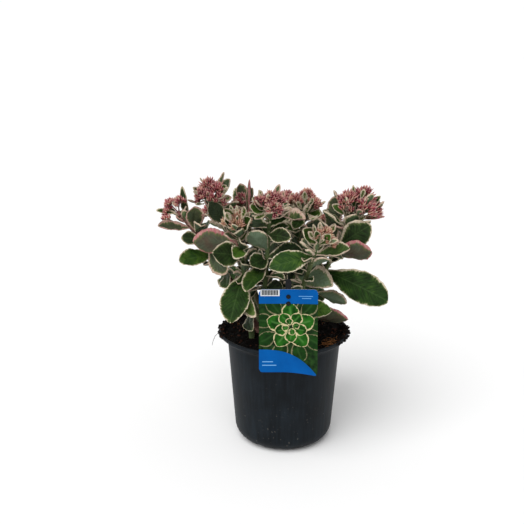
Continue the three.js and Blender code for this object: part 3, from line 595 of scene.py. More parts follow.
def picture_ground(u, v):
    """The rule of the picture, from under the header down to the blue foot."""
    x = across_card(u)
    return x, PICTURE_TOP + (foot_band(x) - PICTURE_TOP) * v


film(ink, 60, 24, picture_ground, *FIRST_INK, GROUND)
PANEL = (-33.2, -10.5, 0.4, 8.2)
film(ink, 6, 2, plain(*PANEL), *FIRST_INK, WHITE)
BARS = {"count": 11, "first": -31.6, "width": 1.3, "pitch": 1.8, "top": 0.9, "foot": 7}
for k in range(BARS["count"]):
    left = BARS["first"] + BARS["pitch"] * k
    film(ink, 1, 1, plain(left, left + BARS["width"], BARS["top"], BARS["foot"]), *OVERPRINT, BLACK)
RULES = [(-31, -18, 90, 1.1), (-31, -14, 94.5, 1.1), (12, 29, 8, 0.7), (16, 27, 10.6, 0.7)]
for left, right, top, tall in RULES:
    film(ink, 8, 1, plain(left, right, top, top + tall), *THIN_INK, PALE_BLUE)
# The rosette's tiers, outermost first: leaves, length, width, where they begin, twist, and how far the
# tier falls back into shade.
ROSETTE = [(9, 46, 19, 19, 8, 0.7), (5, 30, 21, 4, 20, 0), (5, 20, 15, 3, 56, 0), (4, 11, 9, 2, 15, 0)]
ROSETTE_MIDDLE = (3, 46)
ROSETTE_RISE = {"first": 0.585, "tier": 0.05, "every_other": 0.012}
PICTURE_SIDE = CARD["width"] / 2 - 0.2


def petal_half(along, wide):
    """Half a pictured leaf's width at a share along it."""
    return wide / 2 * math.sin(math.pi * min(1, 0.05 + 0.95 * along) ** 1.25) ** 0.7 if 0 <= along < 1 else 0


for tier, (count, long, wide, foot, twist, shade) in enumerate(ROSETTE):
    for k in range(count):
        turn = math.radians(twist + 360 * k / count)
        ahead, aside = math.cos(turn), math.sin(turn)
        level = ROSETTE_RISE["first"] + ROSETTE_RISE["tier"] * tier + ROSETTE_RISE["every_other"] * (k % 2)
        first = len(ink.verts)

        def leaf_rule(u, v):
            out = foot + (long - foot) * u
            side = petal_half(u, wide) * (2 * v - 1) + 0.5 * math.sin(7 * u + 2 * k)
            x = ROSETTE_MIDDLE[0] + out * ahead - side * aside
            x = max(-PICTURE_SIDE, min(PICTURE_SIDE, x))
            drop = ROSETTE_MIDDLE[1] - out * aside - side * ahead
            return x, max(PICTURE_TOP + 0.1, min(foot_band(x) - 0.1, drop))

        film(ink, 12, 10, leaf_rule, level, level + LEAF_INK, LEAF)
        ink.verts.ensure_lookup_table()
        for vert in ink.verts[first:]:
            x, rise = vert.co.x / MM - ROSETTE_MIDDLE[0], ROSETTE_MIDDLE[1] + vert.co.y / MM
            out, side = x * ahead + rise * aside, rise * ahead - x * aside
            along = (out - foot) / (long - foot)
            vert[edge_layer] = min(petal_half(along, wide) - abs(side), 1.6 * (1 - along) * (long - foot))
            vert[rib_layer] = 0.6 if abs(side) < 0.5 and along < 0.8 else 0
            vert[shade_layer] = shade
bmesh.ops.recalc_face_normals(ink, faces=ink.faces)
bmesh.ops.transform(ink, matrix=CARD_PLACE, verts=ink.verts)
ink.to_mesh(card.data)
ink.free()
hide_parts("label_card")

# ---------------------------------------------------------------- leafy stems
# Eleven stems rise from one crown: green, fleshy, jointed where the leaf pairs sit. Each is grown by
# the same rule as its frame solid, so that the solid's leaves are all here in their places: opposite
# pairs, a quarter turn apart, and any that would meet another is swung, lifted or shortened.
SOIL_Z = 150
ROOT_Z = 118
STEM_FOOT = 3.9
STEM_TOP = 2.5
STEM_BOW = 0.3
DEG = math.pi / 180
GOLDEN_ANGLE = 137.508 * DEG


def stem_of(foot, top, turn, size, branches, nod, leaf, lost, flush, ripe, leafy):
    """One stem's facts, in millimetres and degrees. leaf is the length of its longest leaf, lost the
    pairs that have dropped, flush how pink its skin is, ripe how red its buds are, and leafy how many
    small bracts stand in its head."""
    return {
        "foot": np.array([*foot, SOIL_Z], float), "top": np.array(top, float), "turn": turn, "size": size,
        "branches": branches, "nod": nod, "leaf": leaf, "lost": lost, "flush": flush, "ripe": ripe,
        "leafy": leafy,
    }


STEMS = {
    "far_left": stem_of((-34, -4), (-130, -7, 303), 70, 0.75, 3, (-0.5, 0), 56, [0, 1, 2], 0.8, 0.85, 2),
    "upper_left": stem_of((-24, 16), (-89, 26, 308), 15, 1.08, 5, (0, 0), 58, [0, 2], 0.25, 1.0, 5),
    "front_left": stem_of((-42, -24), (-58, -38, 286), 40, 0.85, 4, (0, 0), 60, [0, 1], 0.05, 0.24, 8),
    "middle": stem_of((-28, -16), (-19, -26, 308), 100, 0.95, 4, (0, -0.6), 60, [0], 0.05, 0.85, 9),
    "middle_right": stem_of((4, 8), (26, 20, 296), 60, 1, 4, (0, 0), 62, [], 0.05, 0.6, 11),
    "front_right": stem_of((6, -26), (38, -56, 274), 20, 0.78, 4, (0.5, 0.3), 60, [0, 2, 3, 4], 0.1, 0.3, 8),
    "right": stem_of((20, -4), (86, 4, 290), 85, 1.42, 5, (0, 0), 68, [0, 1, 2], 0.1, 0.85, 11),
    "inner_back": stem_of((-12, 26), (-51, 54, 290), 50, 0.85, 3, (0, 0), 58, [], 0.15, 0.8, 6),
    "back_right": stem_of((18, 26), (62, 68, 258), 30, 1, 4, (0, 0), 70, [0, 3], 0.05, 0.5, 8),
    "back": stem_of((0, 40), (6, 98, 280), 75, 1, 4, (0, 0), 68, [], 0.05, 0.7, 8),
    "back_left": stem_of((-32, 30), (-86, 86, 276), 10, 0.95, 4, (0, 0), 62, [0], 0.15, 0.8, 8),
}

# Pairs up a stem: how far up, the leaf's rise in degrees, and its share of the stem's longest leaf.
PAIRS = [(0.2, -6, 0.92), (0.36, -10, 1), (0.51, -6, 0.98), (0.65, 2, 0.9), (0.78, 12, 0.78), (0.9, 24, 0.6)]
CLUMP_MIDDLE = (-15, 22)

# What a leaf looks like: its pink flush, how light its green is, its waxy bloom, and the width of its
# cream margin in millimetres.
# The look named shade is painted shade: a near-black green for leaves low in the clump and deep inside it.
LOOKS = {
    "fresh": (0.03, 1.1, 0.0, 1.4), "bright": (0.04, 0.68, 0.0, 1.0), "green": (0.06, 0.46, 0.0, 1.3),
    "dark": (0.1, 0.28, 0.03, 1.2), "shade": (0.05, 0.08, 0.05, 0.8), "blue": (0.22, 0.2, 0.3, 1.1),
    "pale": (0.2, 1.1, 0.75, 2.4), "grey": (0.15, 0.9, 0.95, 1.4), "dusky": (0.42, 0.3, 0.22, 1.7),
    "rosy": (0.9, 0.16, 0.04, 2.0), "cream": (0.1, 1.2, 0.0, 2.6), "edged": (0.12, 0.8, 0.02, 1.8),
    "blush": (0.35, 0.6, 0.1, 4.2),
}

# The large or turned leaves that give the plant its outline: stem, how far up it, the tip's place,
# width, the bend along the leaf in degrees, which way its upper face looks, its cupping, its look, and
# how much wider its margin is towards one side (or, where negative, the other).
SET_LEAVES = [
    ("right", 0.56, (128, -45, 202), 42, 24, (0.1, -0.9, 0.5), 0.15, "green", 0.7),
    ("middle_right", 0.5, (59, -44, 222), 32, 34, (0.1, -0.85, 0.5), 0.2, "pale", 1.8),
    ("right", 0.36, (80, -16, 190), 19, 10, (0, 0.9, 0.3), 0.3, "grey"),
    ("front_right", 0.3, (56, -66, 197), 24, 30, (0.4, -0.8, 0.4), 0.3, "bright"),
    ("right", 0.1, (80, -34, 175), 27, 14, (0, 0.9, 0.4), 0.3, "rosy"),
    ("front_left", 0.62, (-67, -80, 187), 37, 30, (-0.2, -0.85, 0.5), 0.15, "green"),
    ("middle", 0.56, (-49, -72, 224), 24, 40, (-0.3, -0.85, 0.4), 0.3, "green"),
    ("front_left", 0.44, (-36, -74, 193), 20, 60, (-0.5, -0.8, 0.3), 0.4, "cream"),
    # Painted shade: this low leaf is given the shade look.
    ("front_left", 0.2, (-40, -72, 174), 17, 24, (-0.3, -0.9, 0.3), 0.3, "shade"),
    ("far_left", 0.5, (-71, -36, 218), 20, 20, (-0.4, -0.9, 0.2), 0.2, "dark"),
    ("middle", 0.64, (-43, -50, 250), 24, 30, (-0.1, -0.9, 0.4), 0.2, "dark"),
    ("middle", 0.72, (-44, -48, 292), 28, -20, (0.2, 0.95, 0.1), 0.15, "grey", -0.6),
    ("front_right", 0.9, (-20, -72, 254), 28, 34, (-0.1, -0.85, 0.5), 0.25, "bright", 0.8),
    ("middle", 0.84, (6, -50, 284), 20, 30, (0.1, -0.9, 0.4), 0.3, "dark"),
    ("front_left", 0.8, (-88, -66, 271), 31, 30, (-0.1, -0.95, 0.3), 0.2, "dark", -0.7),
    ("front_left", 0.86, (-69, -80, 268), 20, 30, (0.1, -0.9, 0.4), 0.3, "fresh"),
    ("far_left", 0.66, (-132, -30, 250), 26, 16, (0, -0.7, 0.7), 0.15, "bright"),
    ("far_left", 0.7, (-83, -40, 235), 24, 30, (-0.3, -0.9, 0.3), 0.2, "dusky", -0.8),
    ("front_left", 0.9, (-114, -33, 277), 34, 16, (0, 0.98, 0.1), 0.2, "rosy", 1.2),
    ("far_left", 0.93, (-135, 2, 338), 12, -10, (-0.6, -0.8, 0.1), 0.3, "dark", -0.8),
    ("far_left", 0.9, (-160, -22, 295), 18, -24, (0, -0.6, 0.8), 0.5, "dusky", -1.6),
    ("far_left", 0.86, (-112, -16, 317), 24, -20, (0.3, -0.9, 0.1), 0.2, "dusky", -0.6),
    ("far_left", 0.8, (-130, -18, 277), 18, 10, (0, -0.9, 0.4), 0.3, "dark"),
    ("upper_left", 0.84, (-95, 0, 320), 22, -20, (0.1, -0.95, 0.2), 0.25, "blue"),
    ("inner_back", 0.84, (-62, 90, 327), 20, -10, (0.1, -0.95, 0.2), 0.25, "dark"),
    ("inner_back", 0.92, (-45, 28, 343), 10, -10, (0.95, -0.1, 0.2), 0.4, "rosy"),
    ("front_right", 0.93, (71, -76, 275), 22, -24, (0, -0.5, 0.85), 0.5, "edged", -0.6),
    ("right", 0.82, (113, -18, 297), 34, 16, (0.1, -0.95, 0.3), 0.2, "dark", 2.2),
    ("right", 0.72, (111, -24, 264), 32, -12, (0, 0.95, 0.3), 0.2, "rosy", -1.0),
    ("right", 0.66, (63, 16, 325), 26, -16, (-0.6, -0.75, 0.1), 0.25, "dusky", -1.8),
    # Painted shade: these two inner leaves are given the shade look.
    ("middle", 0.38, (-2, -24, 215), 20, 30, (-0.3, -0.9, 0.3), 0.3, "shade"),
    ("middle_right", 0.44, (4, 0, 226), 24, -30, (0.2, -0.9, 0.3), 0.3, "shade"),
    ("middle_right", 0.88, (-6, -18, 290), 22, -14, (0, -0.6, 0.8), 0.35, "cream"),
]

# Bracts among the buds: head, the tip's place, width, bend, which way the upper face looks, cupping, how
# far out from the fork the blade begins, and its look. The frame's heads have the first ones too.
FRAME_BRACTS = 17
BRACTS = [
    ("far_left", (-161, -12, 311), 8, -20, (0, -0.7, 0.7), 0.4, 0, "green"),
    ("upper_left", (-77, 26, 353), 9, -20, (-0.7, -0.6, 0.3), 0.4, 0, "dusky"),
    ("upper_left", (-69, 14, 346), 18, -46, (-0.7, -0.6, 0.3), 0.4, 0, "blue"),
    ("upper_left", (-117, 16, 335), 10, -40, (0.4, -0.7, 0.5), 0.4, 0, "dark"),
    ("front_left", (-74, -56, 322), 20, -60, (0.6, -0.7, 0.4), 0.5, 0, "edged"),
    ("front_left", (-42, -58, 311), 18, -60, (-0.6, -0.7, 0.4), 0.5, 0, "edged"),
    ("middle", (-41, -34, 331), 18, -50, (0.6, -0.7, 0.4), 0.5, 0, "edged"),
    ("middle", (-3, -28, 322), 9, -30, (-0.6, -0.7, 0.3), 0.5, 0, "edged"),
    ("middle", (-7, -18, 345), 9, -10, (-0.3, -0.9, 0.2), 0.4, 0, "dusky"),
    ("middle_right", (46, 10, 313), 12, -30, (-0.3, -0.6, 0.7), 0.4, 0, "edged"),
    ("middle_right", (2, 4, 310), 9, -20, (0.3, -0.9, 0.2), 0.4, 0, "cream"),
    ("front_right", (19, -72, 301), 20, -60, (0.6, -0.7, 0.4), 0.5, 0, "edged"),
    ("front_right", (34, -74, 300), 10, -20, (0.1, -0.95, 0.2), 0.3, 0, "green"),
    ("front_right", (52, -72, 295), 13, -20, (-0.1, -0.95, 0.2), 0.3, 0, "bright"),
    ("right", (86, 6, 340), 7, -10, (-0.3, -0.9, 0.2), 0.4, 0, "edged"),
    ("right", (121, 4, 326), 12, -30, (-0.4, -0.8, 0.4), 0.4, 0, "green"),
    ("right", (126, -4, 301), 6, -20, (0, -0.7, 0.7), 0.4, 0, "rosy"),
    ("upper_left", (-113, 8, 314), 5, -20, (0, -0.7, 0.7), 0.4, 0.62, "green"),
    ("upper_left", (-108, 20, 347), 2.4, -10, (0, -0.9, 0.4), 0.3, 0.75, "dark"),
    ("upper_left", (-71, 4, 337), 6, -40, (-0.6, -0.8, 0.2), 0.5, 0.45, "cream"),
    ("upper_left", (-75, -6, 329), 7, -30, (-0.4, -0.8, 0.5), 0.5, 0.5, "cream"),
    ("upper_left", (-116, 10, 331), 5, -30, (0.3, -0.8, 0.5), 0.5, 0.65, "cream"),
    ("front_left", (-71, -66, 320), 9, -80, (0.4, -0.9, 0.1), 0.5, 0.4, "cream"),
    ("front_left", (-50, -62, 326), 8, -90, (-0.3, -0.9, 0.2), 0.5, 0.4, "cream"),
    ("front_left", (-62, -72, 307), 8, -20, (0, -0.7, 0.7), 0.3, 0.35, "bright"),
    ("front_left", (-44, -50, 317), 7, -60, (-0.5, -0.8, 0.3), 0.5, 0.45, "cream"),
    ("front_left", (-59, -48, 325), 5, -30, (0, -0.95, 0.3), 0.4, 0.4, "cream"),
    ("front_left", (-67, -46, 325), 6, -30, (0.2, -0.9, 0.3), 0.4, 0.35, "edged"),
    ("middle", (-38, -48, 308), 8, -30, (0.2, -0.5, 0.8), 0.4, 0.1, "cream"),
    ("middle", (-22, -44, 338), 6.5, -10, (0, -0.95, 0.2), 0.3, 0.45, "cream"),
    ("middle", (-33, -34, 341), 6.5, -20, (0.2, -0.9, 0.3), 0.4, 0.55, "cream"),
    ("middle", (-10, -52, 328), 7.5, -20, (-0.2, -0.9, 0.3), 0.4, 0.35, "cream"),
    ("middle_right", (39, -20, 303), 11, -90, (-0.2, -0.5, 0.8), 0.5, 0.25, "cream"),
    ("middle_right", (47, 0, 304), 15, -40, (-0.4, -0.8, 0.4), 0.3, 0.1, "edged"),
    ("middle_right", (24, -8, 334), 7.5, -20, (0, -0.95, 0.2), 0.4, 0.5, "cream"),
    ("middle_right", (14, -15, 322), 8, -30, (0.2, -0.9, 0.3), 0.4, 0.3, "cream"),
    ("middle_right", (35, -12, 326), 8, -30, (-0.3, -0.8, 0.4), 0.4, 0.45, "edged"),
    ("front_right", (25, -78, 300), 7.5, -30, (0.3, -0.9, 0.2), 0.4, 0.3, "cream"),
    ("front_right", (61, -76, 289), 6.5, -10, (-0.3, -0.8, 0.4), 0.5, 0.3, "pale"),
    ("front_right", (58, -60, 305), 8, -110, (-0.3, -0.8, 0.4), 0.5, 0.4, "cream"),
    ("front_right", (31, -70, 307), 5, -20, (0.2, -0.95, 0.2), 0.4, 0.35, "edged"),
    ("front_right", (40, -62, 308), 6, -40, (0.1, -0.9, 0.3), 0.4, 0.4, "cream"),
    ("right", (107, -21, 320), 8, -20, (-0.1, -0.9, 0.4), 0.4, 0.6, "cream"),
    ("right", (85, -12, 308), 5, -20, (-0.2, -0.9, 0.3), 0.5, 0.25, "cream"),
    ("right", (76, -8, 307), 4.5, -20, (-0.3, -0.9, 0.3), 0.5, 0.25, "edged"),
    ("right", (71, 6, 326), 6, -30, (0.3, -0.9, 0.3), 0.4, 0.6, "rosy"),
    ("right", (98, -8, 337), 7, -20, (0, -0.9, 0.3), 0.4, 0.65, "edged"),
    ("far_left", (-140, -12, 323), 4.5, -20, (0.2, -0.9, 0.3), 0.4, 0.5, "cream"),
    ("inner_back", (-60, 40, 324), 6, -20, (0.2, -0.9, 0.3), 0.4, 0.5, "rosy"),
    ("middle", (25, -26, 303), 19, -34, (-0.1, -0.5, 0.85), 0.7, 0.15, "blush"),
    ("middle", (-44, -40, 322), 20, -50, (0.7, -0.6, 0.4), 0.5, 0.15, "edged"),
    ("middle_right", (32, -4, 316), 12, -40, (-0.2, -0.8, 0.5), 0.5, 0.2, "cream"),
    ("middle_right", (11, -8, 285), 17, -20, (0, -0.6, 0.8), 0.4, 0.1, "dark"),
    ("inner_back", (-41, 45, 329), 12, -30, (-0.3, -0.8, 0.3), 0.5, 0.2, "dusky"),
    ("inner_back", (-58, 62, 332), 18, -30, (0.3, -0.8, 0.3), 0.5, 0.2, "dusky"),
    ("upper_left", (-74, 14, 338), 13, -40, (-0.5, -0.7, 0.4), 0.4, 0.3, "edged"),
    ("upper_left", (-67, 6, 324), 10, -30, (0.2, -0.9, 0.3), 0.4, 0.3, "blush"),
    ("right", (60, 8, 314), 12, -40, (0.3, -0.8, 0.4), 0.5, 0.15, "edged"),
    ("right", (68, -2, 322), 9, -30, (0.2, -0.9, 0.3), 0.4, 0.4, "dusky"),
    ("right", (80, -14, 312), 8, -50, (0, -0.9, 0.3), 0.5, 0.2, "cream"),
    ("right", (100, -16, 303), 9, -60, (-0.2, -0.8, 0.5), 0.5, 0.2, "edged"),
]


def unit(v):
    return v / np.linalg.norm(v)


def sideways(direction):
    """Two directions square to a direction, and to each other."""
    across = unit(np.cross([0, 1, 0], direction))
    return across, np.cross(direction, across)


def stem_point(stem, u):
    """A stem's middle line, from the compost (0) to the fork under its head (1)."""
    out = (1 - STEM_BOW) * u + STEM_BOW * u * u
    return stem["foot"] + (stem["top"] - stem["foot"]) * np.array([out, out, u])


def stem_direction(stem, u):
    return unit(stem_point(stem, u + 0.01) - stem_point(stem, u - 0.01))


def blade_to(base, tip, width, bend, facing, cup, look, lean=0):
    """A blade from its base to its tip."""
    way = np.array(tip, float) - base
    return {
        "base": base, "width": width, "bend": bend * DEG, "facing": np.array(facing, float), "cup": cup,
        "look": look, "lean": lean, "heading": math.atan2(way[1], way[0]),
        "rise": math.atan2(way[2], math.hypot(way[0], way[1])), "length": float(np.linalg.norm(way)),
    }


def leaf_to(name, at, *shape):
    return {"stem": name, "at": at, **blade_to(stem_point(STEMS[name], at), *shape)}


def outline(s):
    """Half the blade's width at s along it, as a share: a narrow foot, widest past the middle, and a
    blunt round tip."""
    s = np.clip(s, 0, 1)
    return np.sin(np.pi * s ** 1.5).clip(0) ** (0.85 - 0.35 * s) + 0.16 * (1 - s) ** 4


def blade(leaf, s, t):
    """The blade's middle surface at s along it and t across it (-1 to 1), and its normals."""
    level = math.cos(leaf["rise"])
    heading = leaf["heading"]
    chord = np.array([level * math.cos(heading), level * math.sin(heading), math.sin(leaf["rise"])])
    side = unit(np.cross(leaf["facing"], chord))
    face = np.cross(chord, side)
    half_bend = leaf["bend"] / 2
    angle = (leaf["bend"] * (0.5 - s))[:, None]
    bow = leaf["length"] / 2 / math.sin(half_bend)
    out = bow * (math.sin(half_bend) - np.sin(angle))
    up = bow * (np.cos(angle) - math.cos(half_bend))
    normal = face * np.cos(angle) - chord * np.sin(angle)
    half = leaf["width"] / 2 * outline(s)
    ripple = np.sin(9 * s + 7 * heading + 2 * (t > 0)) * np.minimum(1, half / 8)
    raised = ((leaf["cup"] * half + ripple) * t * t)[:, None]
    return leaf["base"] + chord * out + face * up + side * (half * t)[:, None] + normal * raised, normal


# A head's build: how far it turns upright, its neck and branches in millimetres at size 1, how much
# longer the middle branch is, how far the others spread, and how far their domes look along the axis.
CYME = {"upright": 0.5, "neck": 5, "branch": 17, "middle": 1.15, "spread": 46, "along_axis": 0.7}


def head_plan(name, turn):
    """A head's frame: its foot, fork and axis, and the middle and axis of each branch's dome."""
    stem = STEMS[name]
    lean = stem_direction(stem, 1)
    axis = unit(lean + [*stem["nod"], CYME["upright"]])
    right, up = sideways(axis)
    foot = stem["top"] + lean * 0.3
    fork = foot + axis * CYME["neck"] * stem["size"]
    domes = []
    for k in range(stem["branches"]):
        tilt = CYME["spread"] * DEG if k else 0
        angle = turn + math.tau * k / (stem["branches"] - 1)
        out = right * math.cos(angle) + up * math.sin(angle)
        way = axis * math.cos(tilt) + out * math.sin(tilt)
        reach = CYME["branch"] * stem["size"] * (1 if k else CYME["middle"])
        domes.append({"centre": fork + way * reach, "axis": unit(way + axis * CYME["along_axis"])})
    return {"foot": foot, "fork": fork, "axis": axis, "domes": domes, "size": stem["size"]}


def bract_of(row):
    """A bract from its fork, or from partway out, to its tip. Its width is at the whole length."""
    name, tip, width, bend, facing, cup, start, look = row
    fork = PLANS[name]["fork"]
    return blade_to(fork + (np.array(tip) - fork) * start, tip, width, bend, facing, cup, look)


PLANS = {name: head_plan(name, k * GOLDEN_ANGLE) for k, name in enumerate(STEMS)}
SAMPLE_S = np.repeat(0.06 + 0.94 * np.arange(1, 11) / 10, 6)
SAMPLE_T = np.tile([-1, -0.6, -0.2, 0.2, 0.6, 1], 10)

# What stands before the leaves grow, as (kind, stem, gap to keep in millimetres, points).
STEM_GAP = 2.6
DOME_RADIUS = 12.6
DOME_GAP = 1.2
BRANCH_GAP = 4.6
LEAF_GAP = 5.8
SAME_STEM_GAP = 4.2
CARD_GAP = 5.2
STAKE_LINE_GAP = 6.5
obstacles = []
for name, plan in PLANS.items():
    line = np.array([stem_point(STEMS[name], k / 29) for k in range(30)])
    obstacles.append(("stem", name, STEM_FOOT + STEM_GAP, line))
    tops = np.array([dome["centre"] + dome["axis"] * 4.5 * plan["size"] for dome in plan["domes"]])
    obstacles.append(("head", name, DOME_RADIUS * plan["size"] + DOME_GAP, tops))
    arms = [np.linspace(plan["foot"], dome["centre"], 5) for dome in plan["domes"]]
    obstacles.append(("head", name, BRANCH_GAP, np.concatenate(arms)))
for row in BRACTS[:FRAME_BRACTS]:
    obstacles.append(("head", row[0], BRANCH_GAP, blade(bract_of(row), SAMPLE_S, SAMPLE_T)[0]))
card_heights = CARD_TOP.z - np.linspace(0, 1, 17) * CARD["height"]
card_places = np.linspace(CARD_TOP.x - CARD["width"] / 2, CARD_TOP.x + CARD["width"] / 2, 12)
card_spots = [(x, card_back(z), z) for z in card_heights for x in card_places]
obstacles.append(("card", None, CARD_GAP, np.array(card_spots)))
stake_line = np.linspace((CARD_TOP.x, -72, 155), (CARD_TOP.x, -88, 243), 15)
obstacles.append(("stake", None, STAKE_LINE_GAP, stake_line))

# How a leaf finds room. Up to FREE_PART of its blade may touch its own stem's leaves. It stays above
# the compost, and beyond the rim it may hang a little lower. The ways it may give are tried in turn,
# as swing and lift in degrees and the share of its size that it keeps.
FREE_PART = 0.34
ABOVE_SOIL = 2.5
BEYOND_RIM = -6
SWINGS = [
    (0, 0), (9, 0), (-9, 0), (0, 9), (0, -9), (18, 0), (-18, 0), (0, 18), (0, -18), (14, 14), (-14, 14),
    (28, 0), (-28, 0), (0, 28), (24, 20), (-24, 20), (38, 6), (-38, 6),
]
GIVES = [(0, 0, 1)] + [(*swing, share) for share in (1, 0.88, 0.76, 0.64) for swing in SWINGS]


def settled(leaf, closeness):
    """The leaf in the first way it lies clear of everything, or None where it has no room. A closer
    leaf keeps only a share of each gap, and may nestle under its own head."""
    near, gaps, own = [np.zeros((0, 3))], [np.zeros(0)], [np.zeros((0, 3))]
    for kind, name, gap, points in obstacles:
        mine = name == leaf["stem"]
        if kind == "leaf" and mine:
            own.append(points[SAMPLE_S >= FREE_PART])
        elif not (mine and (kind == "stem" or closeness < 1)):
            close = points[np.linalg.norm(points - leaf["base"], axis=1) < 1.3 * leaf["length"] + 22]
            near.append(close)
            gaps.append(np.full(len(close), gap * closeness))
    near, gaps, own = np.concatenate(near), np.concatenate(gaps), np.concatenate(own)
    for swing, lift, share in GIVES:
        tried = {
            **leaf, "heading": leaf["heading"] + swing * DEG, "rise": leaf["rise"] + lift * DEG,
            "length": leaf["length"] * share, "width": leaf["width"] * share,
        }
        points, _ = blade(tried, SAMPLE_S, SAMPLE_T)
        over_pot = np.hypot(points[:, 0], points[:, 1]) < RIM_RADIUS + 4
        floor = SOIL_Z + np.where(over_pot, ABOVE_SOIL, BEYOND_RIM)
        if (points[:, 2] <= floor).any():
            continue
        apart = ((points[:, None] - near[None]) ** 2).sum(2)
        free = points[SAMPLE_S >= FREE_PART]
        beside = ((free[:, None] - own[None]) ** 2).sum(2)
        if (apart >= gaps ** 2).all() and (beside >= (SAME_STEM_GAP * closeness) ** 2).all():
            return tried, points
    return None


leaves = []


def place_leaf(leaf, closeness=1.0):
    found = settled(leaf, closeness)
    if found:
        leaves.append(found[0])
        obstacles.append(("leaf", leaf["stem"], LEAF_GAP, found[1]))


growth = seeded_draw(2027)
shades = seeded_draw(404)
taken = []
for row in SET_LEAVES:
    leaf = leaf_to(*row)
    taken.append((leaf["stem"], leaf["at"], leaf["heading"]))
    place_leaf(leaf)
for tier, (at, pair_rise, pair_share) in enumerate(PAIRS):
    for name, stem in STEMS.items():
        base = stem_point(stem, at)
        away = unit(np.array([base[0] - CLUMP_MIDDLE[0], base[1] - CLUMP_MIDDLE[1], 0]))
        for half in (0, 1):
            heading = (stem["turn"] + 90 * tier + 180 * half + growth(-16, 16)) * DEG
            outward = away[0] * math.cos(heading) + away[1] * math.sin(heading)
            length = stem["leaf"] * pair_share * growth(0.88, 1.08) * (1 + 0.16 * outward)
            rise = (pair_rise - 12 * outward + growth(-7, 7)) * DEG
            width = length * growth(0.52, 0.62)
            bend = growth(14, 44)
            facing = (away[0] + growth(-0.4, 0.4), away[1] + growth(-0.4, 0.4), 0.8)
            beside_set = any(
                t[0] == name and abs(t[1] - at) < 0.09 and math.cos(t[2] - heading) > 0.6 for t in taken
            )
            if tier in stem["lost"] or beside_set or (outward < -0.4 and at < 0.6):
                continue
            level = math.cos(rise)
            way = np.array([level * math.cos(heading), level * math.sin(heading), math.sin(rise)])
            # Low leaves may take the look named shade, which is painted shade for the lower clump.
            choice = ("dark", "blue", "green", "dusky") if at > 0.6 else ("green", "dark", "shade")
            look = choice[int(shades(0, len(choice) - 0.001))]
            place_leaf(leaf_to(name, at, base + way * length, width, bend, facing, 0.2, look))

# Where there is still room: a ruff of leaves close under each head, which curve up round the buds, and
# young leaves in the axils all the way down. They may stand closer to their neighbours. The front of
# the upper left ruff is left out, because tufts of buds hang there.
young = seeded_draw(733)
RUFF = 8
HEAD_LOOKS = ("edged", "cream", "green", "dusky")
AXIL_LEAVES = 14
# Half the axil leaves take the look named shade: painted shade that darkens the clump's inside.
AXIL_LOOKS = ("dark", "shade", "blue", "shade")
YOUNG_CLOSENESS = 0.72
for name, stem in STEMS.items():
    for k in range(RUFF + AXIL_LEAVES):
        in_ruff = k < RUFF
        at = young(0.93, 1.0) if in_ruff else 0.3 + 0.62 * (k - RUFF + young(0, 1)) / AXIL_LEAVES
        heading = (stem["turn"] + young(-20, 20)) * DEG + k * (math.tau / RUFF if in_ruff else GOLDEN_ANGLE)
        rise = (young(22, 52) if in_ruff else young(0, 45)) * DEG
        length = young(20, 31) * stem["size"] if in_ruff else young(18, 34)
        bend = -young(25, 60) if in_ruff else young(10, 40)
        out = np.array([math.cos(heading), math.sin(heading), 0])
        way = out * math.cos(rise) + np.array([0, 0, math.sin(rise)])
        facing = (-out if in_ruff else out) * 0.5 + np.array([young(-0.3, 0.3), young(-0.3, 0.3), 0.9])
        look = (HEAD_LOOKS if in_ruff else AXIL_LOOKS)[k % 4]
        tip = stem_point(stem, at) + way * length
        if in_ruff and name == "upper_left" and out[1] < -0.3:
            continue
        width = length * young(0.46, 0.6)
        place_leaf(leaf_to(name, at, tip, width, bend, facing, 0.35, look), YOUNG_CLOSENESS)


def leaf_layers(bm):
    """The layers that carry a leaf's colouring: its blade's map, distance to its rim, and tint."""
    bm.loops.layers.uv.new("blade")
    bm.verts.layers.float.new("edge")
    bm.verts.layers.float_color.new("tint")


def leaf_blank(along, across):
    """A flat two-faced blank for one leaf. Its corners hold (share along, across -1 to 1, face), and
    its rows stand closer together towards the foot and the tip."""
    bm = bmesh.new()
    leaf_layers(bm)
    bmesh.ops.create_grid(bm, x_segments=along, y_segments=across, size=1)
    grown = bmesh.ops.extrude_face_region(bm, geom=bm.faces[:])["geom"]
    bmesh.ops.translate(bm, vec=(0, 0, 1), verts=[g for g in grown if isinstance(g, bmesh.types.BMVert)])
    start = 0.5 - 0.5 * math.cos(0.12 * math.pi)
    for vert in bm.verts:
        eased = 0.5 - 0.5 * math.cos(math.pi * (0.12 + 0.44 * (vert.co.x + 1)))
        vert.co.x = (eased - start) / (1 - start)
        vert.co.z = 1 if vert.co.z > 0.5 else -1
    bmesh.ops.recalc_face_normals(bm, faces=bm.faces)
    return mesh_of("leaf_blank", bm)


TISSUE, SKIN, PETAL = range(3)
LARGE_LEAF = 34
LEAF_BLANK = leaf_blank(36, 14)
BRACT_BLANK = leaf_blank(16, 8)
SMALL_BLANK = leaf_blank(9, 4)
BOX = (np.array(cad_low) + 0.0001, np.array(cad_high) - 0.0001)


def from_blank(bm, blank):
    """Adds a blank's mesh. Returns its corners, the numbers they hold, and its faces."""
    first, first_face = len(bm.verts), len(bm.faces)
    bm.from_mesh(blank)
    bm.verts.ensure_lookup_table()
    bm.faces.ensure_lookup_table()
    verts = bm.verts[first:]
    return verts, np.array([v.co for v in verts]), bm.faces[first_face:]


def rim_distance(s, t, leaf):
    """How far each place on a blade is from its margin, in millimetres."""
    along = np.linspace(0, 1, 60)
    rim = np.stack([along * leaf["length"], leaf["width"] / 2 * outline(along)], 1)
    spots = np.stack([s * leaf["length"], leaf["width"] / 2 * outline(s) * np.abs(t)], 1)
    return np.sqrt(((spots[:, None] - rim[None]) ** 2).sum(2)).min(1)


